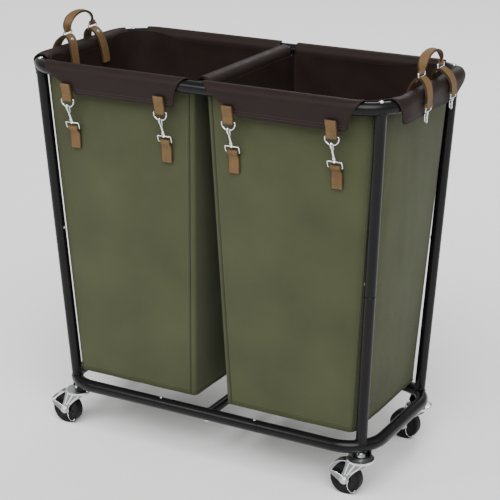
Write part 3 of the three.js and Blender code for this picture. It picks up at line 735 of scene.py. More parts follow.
def weld(shape, loop, start, direction, radius, bead=1.5):
    """A bead where a round bar that runs along direction meets a loop's tube."""
    direction = direction.normalized()
    u = (X if abs(direction.x) < 0.8 else Y)
    u = (u - direction * u.dot(direction)).normalized()
    v = direction.cross(u)
    path = []
    for a in turns(44):
        out = u * math.cos(a) + v * math.sin(a)
        low, high = 0.0, (loop["z"] - start.z) / direction.z if abs(direction.z) > 0.5 else 80.0
        for _ in range(24):
            middle = (low + high) / 2
            if loop_distance(loop, start + out * radius + direction * middle) > RAIL_R:
                low = middle
            else:
                high = middle
        path.append(start + out * (radius + 0.3) + direction * (low - 0.2))
    frames = []
    for i, p in enumerate(path):
        t = (path[(i + 1) % 44] - path[i - 1]).normalized()
        w = (direction - t * direction.dot(t)).normalized()
        frames.append((p, w, t.cross(w)))
    ripple = [1.0 + 0.16 * math.sin(i * 2.4) for i in range(44)]
    shape.sweep(frames, circle(bead, 8), loop=True, scales=ripple)


class SORTER_OT_tubes(bpy.types.Operator):
    """Bent and straight tubes of the frame, with their hidden sleeves"""

    bl_idname = "sorter.tubes"
    bl_label = "Frame tubes"

    def execute(self, context):
        for label, loop in (("base", BASE), ("top", TOP)):
            for end, side in SIDES:
                shape = Shape()
                tube(shape, bow_path(loop, side, SEAM_X), RAIL_R)
                if label == "base":
                    for _, sy in DEPTHS:
                        caster_bracket(shape, side, sy)
                piece(f"{label}_bow_{end}", shape, "frame", ["powder coat"],
                      [f"{label}_end_{end}"])
            for face, sy in DEPTHS:
                shape = Shape()
                x = SEAM_X - 0.35
                ends = [Vector((s * x, sy * loop["hy"], loop["z"])) for s in (-1, 1)]
                tube(shape, straight(*ends), RAIL_R)
                piece(f"{label}_long_rail_{face}", shape, "frame", ["powder coat"],
                      [f"{label}_rail_{face}"])
                sleeves = Shape()
                for s in (-1, 1):
                    middle = Vector((s * SEAM_X, sy * loop["hy"], loop["z"]))
                    tube(sleeves, straight(middle - X * 22, middle + X * 22), RAIL_R - WALL - 0.1)
                piece(f"{label}_sleeves_{face}", sleeves, "frame", ["powder coat"])
            bar = Shape()
            reach = loop["hy"] - 6
            tube(bar, straight(Vector((0, -reach, loop["z"])), Vector((0, reach, loop["z"]))), BAR_R)
            piece(f"{label}_cross_tube", bar, "frame", ["powder coat"], [f"{label}_crossbar"])
        for face, sy in DEPTHS:
            for end, sx in SIDES:
                tag = f"{face}_{end}"
                for label, z0, z1 in (("lower", BASE["z"] + 5, SEAM_Z - 0.2),
                                      ("upper", SEAM_Z + 0.2, TOP["z"] - 5)):
                    shape = Shape()
                    tube(shape, straight(post_at(sx, sy, z0), post_at(sx, sy, z1)), POST_R)
                    piece(f"post_{label}_tube_{tag}", shape, "frame", ["powder coat"],
                          [f"post_{label}_{tag}"])
                sleeve = Shape()
                tube(sleeve, straight(post_at(sx, sy, SEAM_Z - 40), post_at(sx, sy, SEAM_Z + 40)),
                     POST_R - WALL - 0.1)
                piece(f"post_sleeve_{tag}", sleeve, "frame", ["powder coat"])
        beads = Shape()
        for _, sy in DEPTHS:
            for _, sx in SIDES:
                up = (post_at(sx, sy, TOP["z"]) - post_at(sx, sy, BASE["z"])).normalized()
                weld(beads, BASE, post_at(sx, sy, 160), -up, POST_R)
                weld(beads, TOP, post_at(sx, sy, 730), up, POST_R)
            for loop in (BASE, TOP):
                weld(beads, loop, Vector((0, sy * (loop["hy"] - 40), loop["z"])), Vector((0, sy, 0)), BAR_R,
                     1.2)
        piece("weld_beads", beads, "frame", ["powder coat"], angle=60)
        return {"FINISHED"}


def caster_bracket(shape, sx, sy):
    """Welded under a bend: a flange on two legs."""
    tangent = Vector((sx, -sy, 0)).normalized()
    middle = bend_point(BASE, sx, sy, 0) - Vector((sx, sy, 0)).normalized() * 3.0
    flat = place(middle, Z, tangent)
    shape.plate(rounded(40, 22, 4), flat, 82, 84.4, 0.5)
    for s in (-1, 1):
        at = place(middle + tangent * s * 18.5, tangent, tangent.cross(Z))
        up = 1 if at.col[1].z > 0 else -1
        outline = [(-11, 83.4), (-11, 86), (-8, 94), (-8, 103), (8, 103), (8, 94), (11, 86), (11, 83.4)]
        shape.plate([(a, b * up) for a, b in outline], at, -1.5, 1.5, 0.4)


class SORTER_OT_fasteners(bpy.types.Operator):
    """Spring buttons, bolts and nuts of the frame, scattered by a node tree"""

    bl_idname = "sorter.fasteners"
    bl_label = "Fasteners"

    def execute(self, context):
        spots = []
        for _, sy in DEPTHS:
            for s in (-1, 1):
                spots.append((Vector((s * (SEAM_X - 10), sy * BASE["hy"], BASE["z"] + RAIL_R)), Z))
            for _, sx in SIDES:
                axis = post_at(sx, sy, SEAM_Z + 22)
                inward = Vector((-sx, 0, 0))
                spots.append((axis + inward * POST_R, inward))
        studs("spring_buttons", spots, "frame", "zinc plate", 2.9, 1.7, 0.5)
        caps = []
        for _, sy in DEPTHS:
            for _, sx in SIDES:
                caps.append((bend_point(TOP, sx, sy) + Z * RAIL_R, Z))
            caps.append((Vector((0, sy * BASE["hy"], BASE["z"] - RAIL_R)), -Z))
        studs("frame_bolts", caps, "frame", "chrome", 4.2, 3.2, 1.6)
        return {"FINISHED"}


# ------------------------------------------------------------------ casters
def hexagon(shape, origin, axis, radius, low, high, mark=0):
    """A six-sided nut with eased corners."""
    at = place(origin, axis, Z if abs(Vector(axis).normalized().z) < 0.8 else X)
    shape.plate(circle(radius, 6), at, low, high, 0.5, mark)


def caster_top(shape, o):
    """Fixed plate, ball race and the domed kingpin nut above the bracket."""
    at = place(o, Z, X)
    shape.lathe([(0, 81.7), (12.5, 81.7), (14.5, 80.9), (22.5, 80.9), (25.6, 80.4), (27.0, 79.2),
                 (27.2, 77.8),
                 (26.6, 77.2), (25.9, 77.6), (25.4, 78.6), (0, 78.6)], at, 48, [0, 0, 0, 1, 1, 1, 1, 0, 0, 0])
    shape.wire([o + Vector((26.2 * math.cos(a), 26.2 * math.sin(a), 79.6)) for a in turns(40)], 1.1, 8, 1,
               loop=True,
               first=Z)
    hexagon(shape, o, Z, 8.2, 85.2, 89.6, 1)
    shape.lathe([(0, 93.0), (2.2, 92.7), (4.2, 91.6), (5.3, 90.0), (5.5, 88.5), (5.5, 79.0), (0, 79.0)], at,
                24)
    shape.lathe([(0, 86.0), (10.2, 86.0), (10.2, 85.1), (0, 85.1)], at, 28)


def cheek_outline():
    """Side plate of the fork: wide at the crown, narrow at the axle, with hollowed edges."""
    foot = [(-TRAIL + 8.6 * math.cos(a), WHEEL_R + 8.6 * math.sin(a))
            for a in (math.radians(200 + 14 * i) for i in range(11))]
    rear = curve([Vector(p) for p in ((-25, 77), (-26.5, 66), (-31.5, 50), (-37.0, 36))], 5)
    front = curve([Vector(p) for p in ((-20.5, 33.0), (-14, 44), (0, 58), (15, 67), (20, 73), (20.5, 77))], 5)
    return [tuple(p) for p in rear] + foot[1:] + [tuple(p) for p in front]


def fork_shape(o, braked):
    """Crown, two pressed side plates with ribs, and on braked casters the arms that steady the lever. The
    plates are one steel: their ribs, rims and the crown's edge take chrome as painted highlight, and the
    darker plate steel is painted shade.
    """
    shape = Shape()
    at = place(o, Z, X)
    shape.lathe([(0, 77.9), (21.5, 77.9), (23.6, 77.3), (25.0, 75.9), (25.0, 74.4), (24.2, 73.6), (0, 73.6)],
                at, 48,
                [0, 0, 1, 1, 1, 0])
    shape.lathe([(15.5, 73.8), (17.2, 72.6), (19.4, 72.6), (21.1, 73.8)], at, 40)
    for s in (-1, 1):
        side = place(o, Y * s, X)
        up = 1 if side.col[1].z > 0 else -1

        def on(x, z, out):
            return side @ Vector((x, up * z, out))
        # plate rims (edge 1) and the rib wires take chrome: painted highlight on the one steel part
        shape.plate([(a, b * up) for a, b in cheek_outline()], side, 12.0, 14.4, 0.7, 0, 1)
        for x0, z0, x1, z1, r in ((-18, 71, -27.0, 44, 1.7), (-4.5, 71, -22.0, 44, 2.0),
                                  (9, 70.5, -15.0, 47, 1.6)):
            shape.wire([on(x0 + (x1 - x0) * t, z0 + (z1 - z0) * t, 14.3) for t in (0, 0.25, 0.5, 0.75, 1)], r,
                       10, 1)
        shape.wire([on(x, 74.9, 12.9) for x in (-21, -12, -4, 4, 12, 17)], 2.5, 14, 1)
        shape.wire([on(x, z, 11.7) for x, z in ((-20.5, 30), (-22.5, 22), (-21, 13.5), (-14.5, 7.5),
                                                (-8.5, 8.5),
                                                (-5.5, 13))], 0.9, 8, 1)
        if braked:
            arm = [(-35.5, 25.5), (-58.5, 41.5), (-59.5, 46.5), (-54.5, 49.0), (-44, 46.5), (-33, 41.5),
                   (-22.5, 34.5),
                   (-22.0, 27.0)]
            shape.plate([(a, b * up) for a, b in arm], side, 14.5, 15.8, 0.45, 0, 1)
            shape.wire([on(x, z, 15.7) for x, z in ((-57.5, 47.2), (-54, 48.2), (-44, 45.6), (-33, 40.6),
                                                    (-24, 34.6))], 1.0, 10, 1)
    return shape


def axle_shape(o):
    shape = Shape()
    hub = o + Vector((-TRAIL, 0, WHEEL_R))
    for s in (-1, 1):
        shape.lathe([(0, 16.6), (7.6, 16.6), (8.2, 16.1), (8.2, 14.3), (0, 14.3)], place(hub, Y * s, X), 28)
        hexagon(shape, hub, Y * s, 6.6, 16.4, 19.4)
        shape.lathe([(0, 21.0), (2.6, 20.7), (3.9, 19.6), (4.0, 12.0), (0, 12.0)], place(hub, Y * s, X), 22)
    shape.lathe([(0, -15), (3.9, -15), (3.9, 15), (0, 15)], place(hub, Y, X), 22)
    return shape


def wheel_shape(o):
    """Tyre on a plastic hub with ribs on both faces."""
    shape = Shape()
    hub = o + Vector((-TRAIL, 0, WHEEL_R))
    axis = place(hub, Y, X)
    w = WHEEL_W / 2
    half = [(24.2, 1.2), (25.4, 0.1), (27.0, 0.0), (27.4, 0.5), (28.0, 0.5), (28.4, 0.0), (29.7, 0.0),
            (30.7, 0.45),
            (31.25, 1.4), (31.5, 3.2)]
    tyre = [(r, -w + d) for r, d in half] + [(r, w - d) for r, d in reversed(half)]
    shape.lathe(tyre, axis, 64, 0, loop=True)
    core = [(4.4, -w - 1.2), (9.4, -w - 1.2), (10.2, -w - 0.5), (10.6, -w + 3.2), (21.0, -w + 3.2),
            (22.4, -w + 1.4),
            (24.1, -w + 1.0), (24.4, -w + 2.0), (24.4, w - 2.0), (24.1, w - 1.0), (22.4, w - 1.4),
            (21.0, w - 3.2),
            (10.6, w - 3.2), (10.2, w + 0.5), (9.4, w + 1.2), (4.4, w + 1.2)]
    shape.lathe(core, axis, 64, 1, loop=True)
    for s in (-1, 1):
        for a in turns(6, 0.3):
            out = axis.to_3x3() @ Vector((math.cos(a), math.sin(a), 0))
            rib = [hub + Y * s * (w - 3.0) + out * r for r in (9.5, 13, 17, 22)]
            shape.wire(rib, 1.3, 8, 1)
    return shape


def pedal_shape(o):
    """Brake lever: a pressed plate with turned-down edges, two ribs and a foot tab. Its rims and foot tab
    take chrome as painted highlight on the darker steel, which is painted shade.
    """
    spine = curve([Vector((x, 0, z)) for x, z in ((-19, 70.4), (-34, 69.5), (-46.7, 64.4), (-57.0, 56.1),
                                                  (-62.6, 49.7),
                                                  (-66.8, 45.8))], 6)
    grid = []
    last = len(spine) - 1
    for i, p in enumerate(spine):
        t = i / last
        half = 10.6 if t < 0.72 else 10.6 - 3.4 * ((t - 0.72) / 0.28) ** 2
        row = []
        for j in range(15):
            v = -1 + 2 * j / 14
            rib = 0.9 * math.exp(-((abs(v) - 0.42) / 0.12) ** 2) if 0.08 < t < 0.9 else 0.0
            row.append(o + p + Vector((0, v * half, rib + 1.6 * max(abs(v) - 0.86, 0) / 0.14)))
        grid.append(row)
    shape = Shape()
    # rims (edge 1) and the foot tab wire take chrome: painted highlight on the one steel plate
    shape.sheet(grid, 1.8, 0, 1)
    tip = [o + Vector((-66.6, v, 46.4)) for v in (-6.5, -3, 0, 3, 6.5)]
    shape.wire(tip, 1.5, 10, 1)
    return shape


class SORTER_OT_casters(bpy.types.Operator):
    """Swivel casters: plate, fork, axle, wheel and the front pair's brake levers"""

    bl_idname = "sorter.casters"
    bl_label = "Casters"

    def execute(self, context):
        for face, sy in DEPTHS:
            for end, sx in SIDES:
                tag = f"{face}_{end}"
                o = bend_point(BASE, sx, sy, 0)
                top = Shape()
                caster_top(top, o)
                piece(f"swivel_plate_{tag}", top, "frame", ["zinc plate", "chrome"],
                      [f"caster_plate_{tag}"])
                piece(f"fork_{tag}", fork_shape(o, sy < 0), f"fork_{tag}", ["pressed steel painted shade", "chrome"],
                      [f"caster_fork_{tag}"])
                piece(f"axle_bolt_{tag}", axle_shape(o), f"fork_{tag}", ["zinc plate"],
                      [f"caster_axle_{tag}"])
                piece(f"wheel_{tag}", wheel_shape(o), f"wheel_{tag}", ["rubber", "hub plastic"],
                      [f"caster_wheel_{tag}"])
                if sy < 0:
                    piece(f"brake_lever_{tag}", pedal_shape(o), f"brake_{tag}", ["pressed steel painted shade", "chrome"],
                          [f"brake_pedal_{tag}"])
        return {"FINISHED"}


# ------------------------------------------------------------------ bags
def swell_at(f):
    return math.sin(math.pi * min(max(f, 0.0), 1.0) ** 0.7)


def bag_sizes(side, z, inward=0.0):
    f = (RIM_Z - z) / (RIM_Z - BAG_Z)
    mix = {k: BAG_TOP[k] + (BAG_LOW[k] - BAG_TOP[k]) * f for k in BAG_TOP}
    nearer = 2.8 * (1 - f) if side < 0 else 0.0
    return f, mix["xi"] - nearer + inward, mix["xo"] - inward, mix["hy"] - inward, mix["ri"] - inward * 0.6, \
        mix["ro"] - inward


def bag_ring(side, z, inward=0.0, along_side=26, along_corner=7, wrinkle=1.0):
    """One level of a bag, corner by corner: a rounded rectangle whose sides swell a little."""
    f, xi, xo, hy, ri, ro = bag_sizes(side, z, inward)
    ri, ro = max(ri, 2.0), max(ro, 2.0)
    swell = swell_at(f)
    corners = ((xo - ro, -(hy - ro), ro, -90), (xo - ro, hy - ro, ro, 0), (xi + ri, hy - ri, ri, 90),
               (xi + ri, -(hy - ri), ri, 180))
    puff = (8, 12, 3, 12)
    ring = []
    for k, (cx, cy, r, start) in enumerate(corners):
        for i in range(along_corner + 1):
            a = math.radians(start + 90 * i / along_corner)
            ring.append(Vector((cx + r * math.cos(a), cy + r * math.sin(a), 0)))
        nx, ny, nr, turn = corners[(k + 1) % 4]
        a = math.radians(turn)
        out = Vector((math.cos(a), math.sin(a), 0))
        s0, s1 = ring[-1].copy(), Vector((nx, ny, 0)) + out * nr
        for i in range(1, along_side):
            s = i / along_side
            amount = puff[k] * swell * math.sin(math.pi * s) ** 0.62
            amount += wrinkle * folds(side, k, s, z)
            ring.append(s0.lerp(s1, s) + out * amount)
    return [Vector((side * p.x, p.y, z)) for p in ring]


def folds(side, face, s, z):
    """Soft hanging folds: strongest under the rim and above the floor of the bag."""
    seed = 17.0 * face + 5.3 * side
    edge = math.sin(math.pi * s)
    long = noise.noise(Vector((s * 3.2 + seed, z * 0.0016, seed))) * 2.6
    short = noise.noise(Vector((s * 9.0 + z * 0.004, z * 0.0052 + seed, 2.0))) * 1.1
    hang = 1.0 + 0.8 * math.exp(-(RIM_Z - z) / 90.0)
    return (long + short * hang) * edge


def face_y(side, x, z):
    """How far a bag's front or rear cloth stands from the middle, at an x and a height."""
    f, xi, xo, hy, ri, ro = bag_sizes(side, z)
    a, b = xi + ri, xo - ro
    s = min(max((abs(x) - a) / (b - a), 0.0), 1.0)
    return hy + 12 * swell_at(f) * math.sin(math.pi * s) ** 0.62


def bag_levels(top):
    steps = 56
    return [top + (BAG_Z + 5 - top) * (i / steps) for i in range(steps + 1)]


def bag_shape(side):
    """Coated cloth outside, lining inside, with a sewn-in floor."""
    top = 775.0
    thick = size("cloth")
    outer = [bag_ring(side, z) for z in bag_levels(top)]
    inner = [bag_ring(side, z, thick) for z in bag_levels(top)]
    shape = Shape()

    def floor_rings(ring, z, edge, up):
        middle = sum(ring, Vector()) / len(ring)
        rings = []
        for t, lift in ((0.985, edge), (0.96, edge * 0.3), (0.9, 0.0), (0.7, 0.0), (0.45, 0.0), (0.2, 0.0),
                        (0.02, 0.0)):
            flat = []
            for p in ring:
                q = middle.lerp(p, t)
                sag = up * 1.6 * noise.noise(Vector((q.x * 0.012, q.y * 0.012, 3.0)))
                flat.append(Vector((q.x, q.y, z + lift + (sag if t < 0.95 else 0.0))))
            rings.append(flat)
        return rings

    outside = outer + floor_rings(outer[-1], BAG_Z, 2.0, 1)
    inside = inner + floor_rings(inner[-1], BAG_Z + 3.2, 1.6, 1)
    shape.loft(outside, 0, ends=False)
    shape.loft(inside, 1, ends=False)
    n = len(outer[0])
    shape.loft([outer[0], inner[0]], 0, ends=False)
    for ring, mark in ((outside[-1], 0), (inside[-1], 1)):
        middle = sum(ring, Vector()) / n
        shape.add(ring + [middle], [(i, (i + 1) % n, n) for i in range(n)], [mark] * n)
    return shape


def corner_paths(side, offset, shift, top=772.0):
    """Paths down the four sewn corners of a bag; shift moves them round the ring."""
    levels = bag_levels(top)
    paths = []
    step = 7 + 26
    for k, (turn, reach) in enumerate(((-1, 0.4), (1, 0.4), (-1, 3.8), (1, 3.8))):
        middle = 3.5 + turn * reach
        path = []
        for z in levels:
            ring = bag_ring(side, z)
            at = (k * step + middle + turn * shift) % len(ring)
            i = int(math.floor(at)) % len(ring)
            p = ring[i].lerp(ring[(i + 1) % len(ring)], at - math.floor(at))
            a, b = ring[(i - 1) % len(ring)], ring[(i + 2) % len(ring)]
            out = (b - a).cross(Z) * (1 if side > 0 else -1)
            path.append(p + out.normalized() * offset)
        paths.append(path)
    return paths


class SORTER_OT_bags(bpy.types.Operator):
    """The two tapering bags with their lining, corner welts and floor seam"""

    bl_idname = "sorter.bags"
    bl_label = "Bags"

    def execute(self, context):
        for end, side in SIDES:
            piece(f"bag_cloth_{end}", bag_shape(side), "frame", ["olive cloth", "lining cloth"],
                  [f"bag_{end}", f"bag_floor_{end}"], angle=60)
            # the welt cords take the darker olive, painted shade along the seams
            welts = Shape()
            for path in corner_paths(side, 0.5, 0.0):
                welts.wire(path, 1.7, 8, squash=0.85)
            ring = bag_ring(side, BAG_Z + 4.6)
            welts.wire([p + (p - Vector((side * 176, 0, p.z))).normalized() * 0.4 for p in ring], 1.5, 8,
                       loop=True,
                       first=Z)
            piece(f"bag_welts_{end}", welts, "frame", ["olive welt painted shade"], angle=60)
            rows = []
            for shift in (-0.42, 0.42):
                rows += corner_paths(side, 0.25, shift)
            rows.append([p + Z * 6 + (p - Vector((side * 176, 0, p.z))).normalized() * 0.3
                         for p in bag_ring(side, BAG_Z + 10)])
            stitches(f"bag_seam_stitches_{end}", rows, "frame", "olive thread")
        return {"FINISHED"}


# ------------------------------------------------------------------ flaps
def flap_grid(line, top, low, over, z_inner, z_outer, steep, cols=60, wave=1.0, seed=0.0, lean=0.0):
    """A cloth strip folded over a rail.

    line(s) gives the rail's centre and its outward direction; top and low are the (start, end) of the
    strip along the rail at the fold and at the hanging edge; steep says which end is cut nearly square.
    """
    rows = []
    middle = over + size("flap") / 2
    rail_z = line(0.0)[0].z
    inside = [(-middle, z_inner + (rail_z - z_inner) * t) for t in (0, 0.35, 0.7, 1.0)]
    inside += [(middle * math.cos(a), rail_z + middle * math.sin(a)) for a in
               (math.pi * (1 - i / 16) for i in range(1, 9))]
    drop = [(middle * math.cos(a), rail_z + middle * math.sin(a)) for a in
            (math.pi * (0.5 - i / 16) for i in range(1, 9))]
    leg = 16
    drop += [(middle, rail_z + (z_outer - rail_z) * i / leg) for i in range(1, leg + 1)]
    total = len(drop)
    for offset, z in inside:
        row = []
        for j in range(cols + 1):
            o, n = line(top[0] + (top[1] - top[0]) * j / cols)
            row.append(Vector((o.x, o.y, z)) + n * offset)
        rows.append(row)
    for i, (offset, z) in enumerate(drop):
        t = (i + 1) / total
        row = []
        for j in range(cols + 1):
            k = j / cols
            cut = k if steep == "end" else 1 - k
            blend = (1 - cut) * t ** 1.25 + cut * (1 - (1 - t) ** 2.0)
            a = top[0] + (top[1] - top[0]) * k
            b = low[0] + (low[1] - low[0]) * k
            o, n = line(a + (b - a) * blend)
            down = max((rail_z - z) / (rail_z - z_outer), 0.0)
            near = min(k, 1 - k) * cols
            lift = 5.0 * (1 - math.sqrt(1 - (1 - near / 3.0) ** 2)) * down if near < 3 else 0.0
            ripple = 1.5 * noise.noise(Vector((k * 4.2 + seed, down * 0.9,
                                               seed))) + 0.5 * math.sin(k * 9 + seed)
            out = offset - lean * down ** 1.4 + wave * ripple * down * down
            row.append(Vector((o.x, o.y, z + lift)) + n * out)
        rows.append(row)
    return rows


def long_line(side, sy):
    """A line along the long rail and round the outer bend, measured by distance from x = 0."""
    def at(s):
        return bow_point(TOP, side, sy * (bow_length(TOP, 0.0) - abs(s)))
    return at


def end_line(side):
    return lambda s: bow_point(TOP, side, s)


def bar_line(side):
    return lambda s: (Vector((0, s, TOP["z"])), Vector((-side, 0, 0)))


def flap_plan(side):
    """Every flap of one bag: name, line, top and low extents, fold radius, heights, square end, wave."""
    drop = size("flap_drop")
    if side > 0:
        top, low, steep = (17.0, 343.0), (92.0, 318.0), "end"
    else:
        top, low, steep = (20.0, 343.0), (42.0, 268.0), "start"
    plan = []
    for face, sy in DEPTHS:
        plan.append((face, long_line(side, sy), top, low, 14.2, drop, steep, 1.0))
    plan.append(("outer", end_line(side), (-151.0, 151.0), (-138.0, 88.0), 14.2, 751.0, "start", 0.8))
    over = 11.2 if side < 0 else 14.0
    plan.append(("middle", bar_line(side), (-160.0, 160.0), (-158.0, 158.0), over, 766.0, "end", 0.2))
    return plan


def hem(grid, rows=2):
    """Flaps are twice as thick along their turned hem."""
    last = len(grid) - 1
    base = size("flap")
    return lambda i, j: base * (1.45 if i > last - rows else 1.0)


def rim_top(ring, i):
    """The rim band stands higher at the bag's outer corners, where no flap covers it."""
    corner = 7
    step = 7 + 26
    low = 778.0
    for k in (0, 1):
        at = k * step + corner / 2
        d = min(abs(i - at), len(ring) - abs(i - at))
        low = max(low, 778.0 + 15.0 * math.exp(-((d / 7.5) ** 4)))
    return low


def rim_grid(side):
    """The brown band inside the rim, from below the rail to its top at the corners."""
    rows = []
    for i in range(13):
        t = i / 12
        row = []
        for j in range(len(bag_ring(side, RIM_Z)) + 1):
            ring_z = 690.0 + 73.0 * t
            ring = bag_ring(side, ring_z, size("cloth") + 1.7)
            j0 = j % len(ring)
            p = ring[j0].copy()
            p.z = 690.0 + (rim_top(ring, j0) - 690.0) * t
            row.append(p)
        rows.append(row)
    return rows


class SORTER_OT_flaps(bpy.types.Operator):
    """Rim flaps folded over the rails, the band inside the rim and their stitching"""

    bl_idname = "sorter.flaps"
    bl_label = "Flaps"

    def execute(self, context):
        for end, side in SIDES:
            rows = []
            for name, line, top, low, over, z_low, steep, wave in flap_plan(side):
                grid = flap_grid(line, top, low, over, 768.0, z_low, steep, wave=wave,
                                 seed=side * 3.1 + z_low,
                                 lean={"middle": 0.0, "outer": 2.0}.get(name, 6.5))
                shape = Shape()
                shape.sheet(grid, hem(grid))
                flap = piece(f"flap_{name}_{end}", shape, "frame", ["brown flap"],
                             [f"collar_{end}"] if name == "front" else (), angle=70)
                if name != "middle":
                    for back in (3, 5):
                        row, normals = grid[-back], grid_normals(grid)[-back]
                        sign = 1 if normals[30].dot(line(sum(low) / 2)[1]) > 0 else -1
                        rows.append([p + n * sign * (size("flap") * 0.62) for p,
                                     n in zip(row, normals)][2:-2])
            shape = Shape()
            grid = rim_grid(side)
            outer = [[p for p in row[:-1]] for row in grid]
            middle = Vector((side * BAG_X, 0, 0))
            thick = 1.6
            inner = [[p - (Vector((p.x, p.y, 0)) - middle).normalized() * thick for p in row]
                     for row in outer]
            shape.loft(outer, 0, ends=False)
            shape.loft(inner, 0, ends=False)
            shape.loft([outer[0], inner[0]], 0, ends=False)
            shape.loft([outer[-1], inner[-1]], 0, ends=False)
            band = piece(f"rim_band_{end}", shape, "frame", ["brown flap"], angle=60)
            rows.append([p.lerp(Vector((middle.x, 0, p.z)), 0.012) + Z * 4 for p in outer[0]])
            stitches(f"flap_stitches_{end}", rows, "frame", "brown thread")
        return {"FINISHED"}


# ------------------------------------------------------------------ tabs and rings
TAN_LEATHER = ("tan leather", "leather edge", "leather border")


def leather_strap(shape, path, across, width, thickness, notch=0.0):
    """A flat strap along a path; across is its width direction, or one for each point.

    Faces get mark 0, cut edges mark 1 and the darker border bands along both faces mark 2.
    """
    frames = []
    last = len(path) - 1
    for i, o in enumerate(path):
        t = (path[min(i + 1, last)] - path[max(i - 1, 0)]).normalized()
        u = across[i] if isinstance(across, list) else across
        u = (u - t * u.dot(t)).normalized()
        frames.append((o, u, t.cross(u)))
    w, h, c = width / 2, thickness / 2, min(0.5, thickness * 0.22)
    b = w - 2.3
    outline = [(-w + c, -h), (-b, -h), (b, -h), (w - c, -h), (w, -h + c), (w - notch, 0), (w, h - c),
               (w - c, h),
               (b, h), (-b, h), (-w + c, h), (-w, h - c), (-w + notch, 0), (-w, -h + c)]
    marks = [2, 0, 2, 1, 1, 1, 1, 2, 0, 2, 1, 1, 1, 1]
    ends = [0.97] + [1.0] * (last - 1) + [0.97]
    shape.sweep(frames, outline, marks, scales=ends)
    return frames


def offset_line(frames, side, rise, start, end):
    """A line on a strap's face, inset from its edge."""
    return [o + u * side + v * rise for o, u, v in frames[start:end]]


def tab_upper(side, sy, x):
    """Tab on a flap: two leaves round the D-ring's straight bar."""
    y = TOP["hy"] + 14.2 + size("flap") / 2
    profile = ((3.4, 761), (1.8, 752), (-1.2, 741), (-1.9, 732), (-2.4, 727.0), (-4.2, 725.4), (-6.2, 726.6),
               (-6.9, 731), (-5.6, 738), (-2.2, 749), (0.6, 758))
    return curve([Vector((x, sy * (y + o), z)) for o, z in profile], 4)


def tab_lower(side, sy, x):
    """Tab on a bag: two leaves round the lower bar of the hook's eye."""
    fy = HOOK_FOOT[0]

    def on(z, lift):
        return face_y(side, x, z) + lift
    profile = ((on(626, 4.4), 626), (on(636, 4.4), 636), (on(647, 4.6), 647), (on(657, 5.0), 657),
               (fy + 1.9, 665.4),
               (fy + 2.2, 669.6), (fy, 671.2), (fy - 2.3, 669.6), (fy - 2.7, 664.5), (on(650, 2.2), 650),
               (on(638, 1.4), 638), (on(630, 1.4), 630))
    return curve([Vector((x, sy * y, z)) for y, z in profile], 4)


def ring_y():
    return TOP["hy"] + 10.9


def d_ring(sy, x, wire):
    """A D-ring: straight bar in the tab's fold, bow below it."""
    half = 14.1
    top = 729.2
    points = [(-half + 2.4, top), (0, top), (half - 2.4, top), (half - 0.6, top - 0.6), (half, top - 2.4)]
    points += [(half * math.cos(a), 725.5 - 12.1 * math.sin(a))
               for a in (math.radians(12 * i) for i in range(1, 15))]
    points += [(-half, top - 2.4), (-half + 0.6, top - 0.6)]
    y = sy * ring_y()
    shape = Shape()
    shape.wire([Vector((x + a, y, z)) for a, z in points], wire, 12, loop=True, first=Y)
    return shape


def tab_places():
    for end, side in SIDES:
        for face, sy in DEPTHS:
            for label, s in SIDES:
                yield end, side, face, sy, label, side * BAG_X + s * TAB_U + 2.5


class SORTER_OT_tabs(bpy.types.Operator):
    """Leather tabs on flaps and bags, with D-rings and stitching"""

    bl_idname = "sorter.tabs"
    bl_label = "Tabs and rings"

    def execute(self, context):
        width, thick = size("tab_width"), size("leather")
        for end, side in SIDES:
            tabs, rings, rows = Shape(), Shape(), []
            for _, place_side, _, sy, _, x in tab_places():
                if place_side != side:
                    continue
                for make in (tab_upper, tab_lower):
                    path = make(side, sy, x)
                    frames = leather_strap(tabs, path, X, width, thick)
                    out = 1 if frames[4][2].y * sy > 0 else -1
                    a, b = 1, (15 if make is tab_upper else 17)
                    for u in (-1, 1):
                        rows.append(offset_line(frames, u * (width / 2 - 2.6), out * (thick / 2 + 0.1), a,
                                                b - 4))
                    for index in (1, b - 5):
                        o, u, v = frames[index]
                        rows.append([o + u * k * (width / 2 - 2.6) + v * out * (thick / 2 + 0.1) for k in
                                     (-1, -0.5, 0, 0.5, 1)])
                for part in (d_ring(sy, x, size("wire")),):
                    rings.add(part.points, part.faces, part.finish)
            piece(f"leather_tabs_{end}", tabs, "frame", TAN_LEATHER, angle=30)
            piece(f"d_rings_{end}", rings, "frame", ["chrome"])
            stitches(f"tab_stitches_{end}", rows, "frame", "tan thread", 0.8)
        return {"FINISHED"}


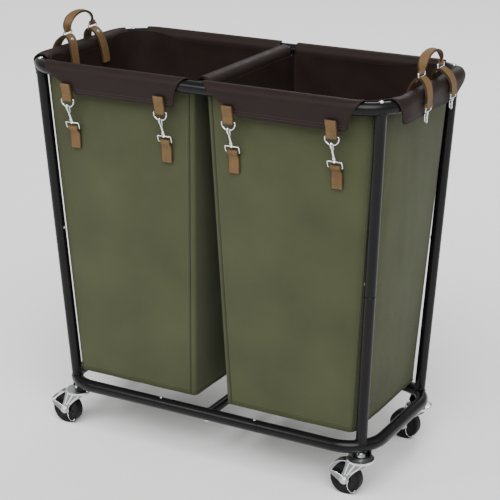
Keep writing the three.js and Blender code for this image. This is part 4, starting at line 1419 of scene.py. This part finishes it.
# ------------------------------------------------------------------ hooks
def snap_hook(at, length_mm, eye_w, eye_h, wire, grow_by=1.0):
    """A swivel snap hook in its own frame: X across, Y towards the opening, Z from the eye to the hook."""
    shape = Shape()
    g = grow_by

    def put(x, y, z):
        return at @ Vector((x, y, z))
    w, h = eye_w / 2 - wire, eye_h
    eye = rounded(2 * w, h, 1.9 * g, 5)
    shape.wire([put(a, 0, b + h / 2) for a, b in eye], wire, 12, loop=True, first=(at.to_3x3() @ Y))
    z0 = h - wire * 0.6
    turned = at @ Matrix.Translation((0, 0, z0))
    shape.lathe([(0, -0.4 * g), (3.2 * g, -0.4 * g), (3.7 * g, 0.4 * g), (3.7 * g, 2.4 * g),
                 (3.0 * g, 3.2 * g),
                 (1.9 * g, 3.6 * g), (1.9 * g, 4.6 * g), (3.1 * g, 5.0 * g), (3.5 * g, 5.9 * g),
                 (3.5 * g, 8.6 * g),
                 (2.7 * g, 10.2 * g), (0, 10.8 * g)], turned, 24)
    start = z0 + 8.5 * g
    L = length_mm
    body = curve([Vector(p) for p in (
        (0, 0, start), (0, -0.3 * g, start + 6.0 * g), (0, -1.6 * g, L - 9.5 * g), (0, -3.7 * g, L - 3.0 * g),
        (0, -3.8 * g, L + 2.0 * g), (0, -1.2 * g, L + 4.8 * g), (0, 2.0 * g, L + 4.3 * g),
        (0, 3.7 * g, L + 1.4 * g),
        (0, 3.6 * g, L - 1.6 * g))], 6)
    taper = [1.35 - 0.5 * i / (len(body) - 1) for i in range(len(body))]
    shape.wire([put(*p) for p in body], 1.75 * g, 12, squash=0.9, first=at.to_3x3() @ X, taper=taper)
    gate = [put(0, 0.9 * g, L - 15.0 * g), put(0, 1.9 * g, L - 11.5 * g), put(0, 3.0 * g, L - 7 * g),
            put(0, 3.6 * g, L - 2.9 * g)]
    shape.wire(curve(gate, 4), 1.15 * g, 10, squash=0.8, first=at.to_3x3() @ X)
    knob = at @ Matrix.Translation((0, 3.2 * g, L - 9.0 * g)) @ Matrix.Rotation(math.radians(-90), 4, "X")
    shape.lathe([(0, 1.9 * g), (1.2 * g, 1.7 * g), (1.9 * g, 0.8 * g), (1.7 * g, -0.9 * g), (0, -1.0 * g)],
                knob, 16)
    return shape


class SORTER_OT_hooks(bpy.types.Operator):
    """Swivel snap hooks between tabs and D-rings, and the small ones on the strap handles"""

    bl_idname = "sorter.hooks"
    bl_label = "Snap hooks"

    def execute(self, context):
        fy, fz = HOOK_FOOT
        for end, side, face, sy, label, x in tab_places():
            foot = Vector((x, sy * fy, fz))
            aim = Vector((x, sy * ring_y(), 713.4)) - foot
            at = place(foot, aim, X if sy < 0 else -X)
            name = f"{end}_{face}_{label}"
            piece(f"clip_{name}", snap_hook(at, aim.length, 32.0, 12.5, size("wire")), f"clip_{name}",
                  ["chrome"],
                  [f"snap_hook_{name}"])
        for end, side in SIDES:
            rings = Shape()
            for face, sy in DEPTHS:
                foot = Vector((side * LEG_X, sy * HOOK_Y, LEG_Z - 3))
                eye = Vector((side * (TOP["hx"] + 17.2), sy * HOOK_Y, 740.1))
                aim = eye - foot
                across = Vector((0, -side, 0)) if True else Y
                at = place(foot, aim, across)
                if (at.to_3x3() @ Y).x * side > 0:
                    at = place(foot, aim, -across)
                piece(f"strap_clip_{end}_{face}", snap_hook(at, aim.length, 27.0, 8.0, 1.15, 0.6),
                      f"strap_hook_{end}_{face}", ["chrome"], [f"handle_hook_{end}_{face}"])
                y = sy * HOOK_Y
                loop = [(-6.0, 753.5), (0, 753.5), (6.0, 753.5), (6.4, 747.0), (5.6, 742.4), (3.0, 740.2),
                        (0, 739.9),
                        (-3.0, 740.2), (-5.6, 742.4), (-6.4, 747.0)]
                rings.wire(curve([Vector((eye.x, y + a, z)) for a, z in loop], 4, True), 1.1, 10, loop=True,
                           first=X)
            piece(f"end_rings_{end}", rings, "frame", ["chrome"])
        return {"FINISHED"}


# ------------------------------------------------------------------ strap handles
def saddle_path(side, sy):
    points = ((LEG_X, HOOK_Y, LEG_Z - 1), (LEG_X - 0.2, 57.2, 777), (LEG_X - 0.8, 55.8, 787), (407, 51, 801),
              (398.5, 46.2, 811.5), (390, RING_Y, 815.2), (381.8, 45.0, 811.5), (374.6, 47.5, 801),
              (370.2, 51, 786), (366.4, 53.2, 766), (364.6, 54.5, 744))
    return curve([Vector((side * x, sy * y, z)) for x, y, z in points], 5)


def loop_path(side):
    low = RING_Z + 4.4
    points = [(-RING_Y, low), (-RING_Y, low + 7)]
    points += [(-RING_Y * math.cos(a), low + 7 + 25 * math.sin(a))
               for a in (math.pi * i / 14 for i in range(1, 14))]
    points += [(RING_Y, low + 7), (RING_Y, low)]
    return curve([Vector((side * TOP["hx"], y, z)) for y, z in points], 4)


class SORTER_OT_handles(bpy.types.Operator):
    """Leather strap handles: arch, rings, saddles over the end rail, rivets and stitching"""

    bl_idname = "sorter.handles"
    bl_label = "Handles"

    def execute(self, context):
        width, thick = size("strap_width"), size("leather") * 2
        for end, side in SIDES:
            # arch
            path = loop_path(side)
            last = len(path) - 1
            across = []
            for i, o in enumerate(path):
                t = (path[min(i + 1, last)] - path[max(i - 1, 0)]).normalized()
                turn = math.sin(math.pi * i / last) ** 0.8 * (math.pi / 2)
                across.append(t.cross(X).normalized() * math.cos(turn) + X * math.sin(turn))
            shape = Shape()
            arch = size("arch_width")
            frames = leather_strap(shape, path, across, arch, thick, 0.5)
            for sy in (-1, 1):
                fold = [(3.1 * math.cos(a), 3.1 * math.sin(a))
                        for a in (math.radians(180 + 15 * i) for i in range(13))]
                fold += [(2.1, 6.0), (-2.1, 6.0)]
                at = place((side * TOP["hx"], sy * RING_Y, RING_Z + 3.4), Y, X)
                up = 1 if at.col[1].z > 0 else -1
                shape.plate([(a, b * up) for a, b in fold], at, -arch / 2, arch / 2, 0.4)
            piece(f"strap_arch_{end}", shape, f"handle_{end}", TAN_LEATHER,
                  [f"handle_loop_{end}"], angle=30)
            rows = []
            for u in (-1, 1):
                for v in (-1, 1):
                    rows.append(offset_line(frames, u * (arch / 2 - 2.2), v * (thick / 2 + 0.1), 2, last - 1))
            stitches(f"strap_arch_stitches_{end}", rows, f"handle_{end}", "tan thread", 0.8)
            rings = Shape()
            for sy in (-1, 1):
                outline = rounded(29.0, 9.6, 3.4, 5)
                rings.wire([Vector((side * TOP["hx"], sy * RING_Y + a, RING_Z - 0.2 + b)) for a,
                            b in outline], 1.35, 12,
                           loop=True, first=X)
            piece(f"strap_rings_{end}", rings, f"handle_{end}", ["chrome"])
            # saddles
            for face, sy in DEPTHS:
                path = saddle_path(side, sy)
                shape = Shape()
                frames = leather_strap(shape, path, Y, width, thick, 0.5)
                fold = [(3.4 * math.cos(a), 3.4 * math.sin(a))
                        for a in (math.radians(180 + 15 * i) for i in range(13))]
                fold += [(2.1, 7.5), (-2.1, 7.5)]
                at = place((side * LEG_X, sy * HOOK_Y, LEG_Z - 3), Y, X)
                up = 1 if at.col[1].z > 0 else -1
                shape.plate([(a, b * up) for a, b in fold], at, -width / 2, width / 2, 0.4)
                piece(f"strap_saddle_{end}_{face}", shape, "frame", TAN_LEATHER,
                      [f"handle_saddle_{end}_{face}"], angle=30)
                rows = []
                n = len(frames)
                for u in (-1, 1):
                    for v in (-1, 1):
                        rows.append(offset_line(frames, u * (width / 2 - 2.6), v * (thick / 2 + 0.1), 1,
                                                n - 1))
                stitches(f"strap_saddle_stitches_{end}_{face}", rows, "frame", "tan thread",
                         0.8)
                spots = []
                for index in (n // 2 + 7,):
                    o, u, v = frames[index]
                    for s in (-1, 1):
                        spots.append((o + v * s * thick / 2, v * s))
                studs(f"strap_rivets_{end}_{face}", spots, "frame", "zinc plate",
                      size("stud") * 0.9, 1.3)
        return {"FINISHED"}


# ------------------------------------------------------------------ stage
class SORTER_OT_stage(bpy.types.Operator):
    """Pale floor, soft studio lights and the camera"""

    bl_idname = "sorter.stage"
    bl_label = "Stage"

    def execute(self, context):
        scene = context.scene
        mesh = bpy.data.meshes.new("floor")
        mesh.from_pydata([(-30, -30, 0), (30, -30, 0), (30, 30, 0), (-30, 30, 0)], [], [(0, 1, 2, 3)])
        floor = bpy.data.objects.new("floor", mesh)
        scene.collection.objects.link(floor)
        f = Finish("studio floor", Roughness=0.85, Specular_IOR_Level=0.1)
        c = tuple(scene.sorter_colours.floor)
        f.set("Base Color", f.mix(f.noise(1.5), shade(c, 0.995), c))
        mesh.materials.append(f.material)
        world = scene.world or bpy.data.worlds.new("studio")
        scene.world = world
        world.use_nodes = True
        nodes = world.node_tree.nodes
        background = nodes.get("Background") or nodes.new("ShaderNodeBackground")
        background.inputs[0].default_value = (1.0, 1.0, 1.0, 1.0)
        background.inputs[1].default_value = 0.45
        sun = bpy.data.lights.new("sun", "SUN")
        sun.energy = 3.9
        sun.angle = math.radians(50)
        lamp = bpy.data.objects.new("sun", sun)
        lamp.rotation_euler = Vector((-0.30, 0.56, -0.8)).to_track_quat("-Z", "Y").to_euler()
        scene.collection.objects.link(lamp)
        lights = (("key", (-1.9, -2.9, 2.6), 1.0, 34.0), ("rim", (3.2, 1.2, 2.4), 0.8, 7.0),
                  ("back", (-0.6, 3.4, 2.8), 1.6, 30.0))
        for name, spot, width, power in lights:
            data = bpy.data.lights.new(name, "AREA")
            data.shape = "SQUARE"
            data.size = width
            data.energy = power
            lamp = bpy.data.objects.new(name, data)
            lamp.location = spot
            lamp.rotation_euler = (Vector((0, 0, 0.4)) - Vector(spot)).to_track_quat("-Z", "Y").to_euler()
            scene.collection.objects.link(lamp)
        data = bpy.data.cameras.new("camera")
        data.lens = 113.73
        data.sensor_width = 36.0
        data.shift_x = -0.0036
        data.shift_y = 0.0137
        data.clip_end = 60.0
        camera = bpy.data.objects.new("camera", data)
        right = Vector((0.87194, 0.48961, -0.00266)).normalized()
        forward = Vector((-0.46174, 0.82047, -0.33707)).normalized()
        up = right.cross(forward).normalized()
        camera.matrix_world = Matrix((
            (right.x, up.x, -forward.x, 1.4907), (right.y, up.y, -forward.y, -2.6254),
            (right.z, up.z, -forward.z, 1.4718), (0, 0, 0, 1)))
        scene.collection.objects.link(camera)
        scene.camera = camera
        return {"FINISHED"}


# ------------------------------------------------------------------ panel
STEPS = (SORTER_OT_tubes, SORTER_OT_fasteners, SORTER_OT_casters, SORTER_OT_bags, SORTER_OT_flaps,
         SORTER_OT_tabs,
         SORTER_OT_hooks, SORTER_OT_handles, SORTER_OT_stage)


class SORTER_PT_panel(bpy.types.Panel):
    """Lists the sorter's sizes, colours and steps"""

    bl_idname = "SORTER_PT_panel"
    bl_label = "Laundry Sorter"
    bl_space_type = "VIEW_3D"
    bl_region_type = "UI"
    bl_category = "Sorter"

    def draw(self, context):
        layout = self.layout
        for group in (context.scene.sorter_sizes, context.scene.sorter_colours):
            box = layout.box()
            for key in group.__annotations__:
                box.prop(group, key)
        for step in STEPS:
            layout.operator(step.bl_idname)


CLASSES = (SorterSizes, SorterColours, *STEPS, SORTER_PT_panel)


def register():
    for cls in CLASSES:
        bpy.utils.register_class(cls)
    bpy.types.Scene.sorter_sizes = PointerProperty(type=SorterSizes)
    bpy.types.Scene.sorter_colours = PointerProperty(type=SorterColours)


def unregister():
    del bpy.types.Scene.sorter_colours
    del bpy.types.Scene.sorter_sizes
    for cls in reversed(CLASSES):
        bpy.utils.unregister_class(cls)


def main():
    register()
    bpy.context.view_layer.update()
    for step in STEPS:
        group, name = step.bl_idname.split(".")
        getattr(getattr(bpy.ops, group), name)()


if __name__ == "__main__":
    main()
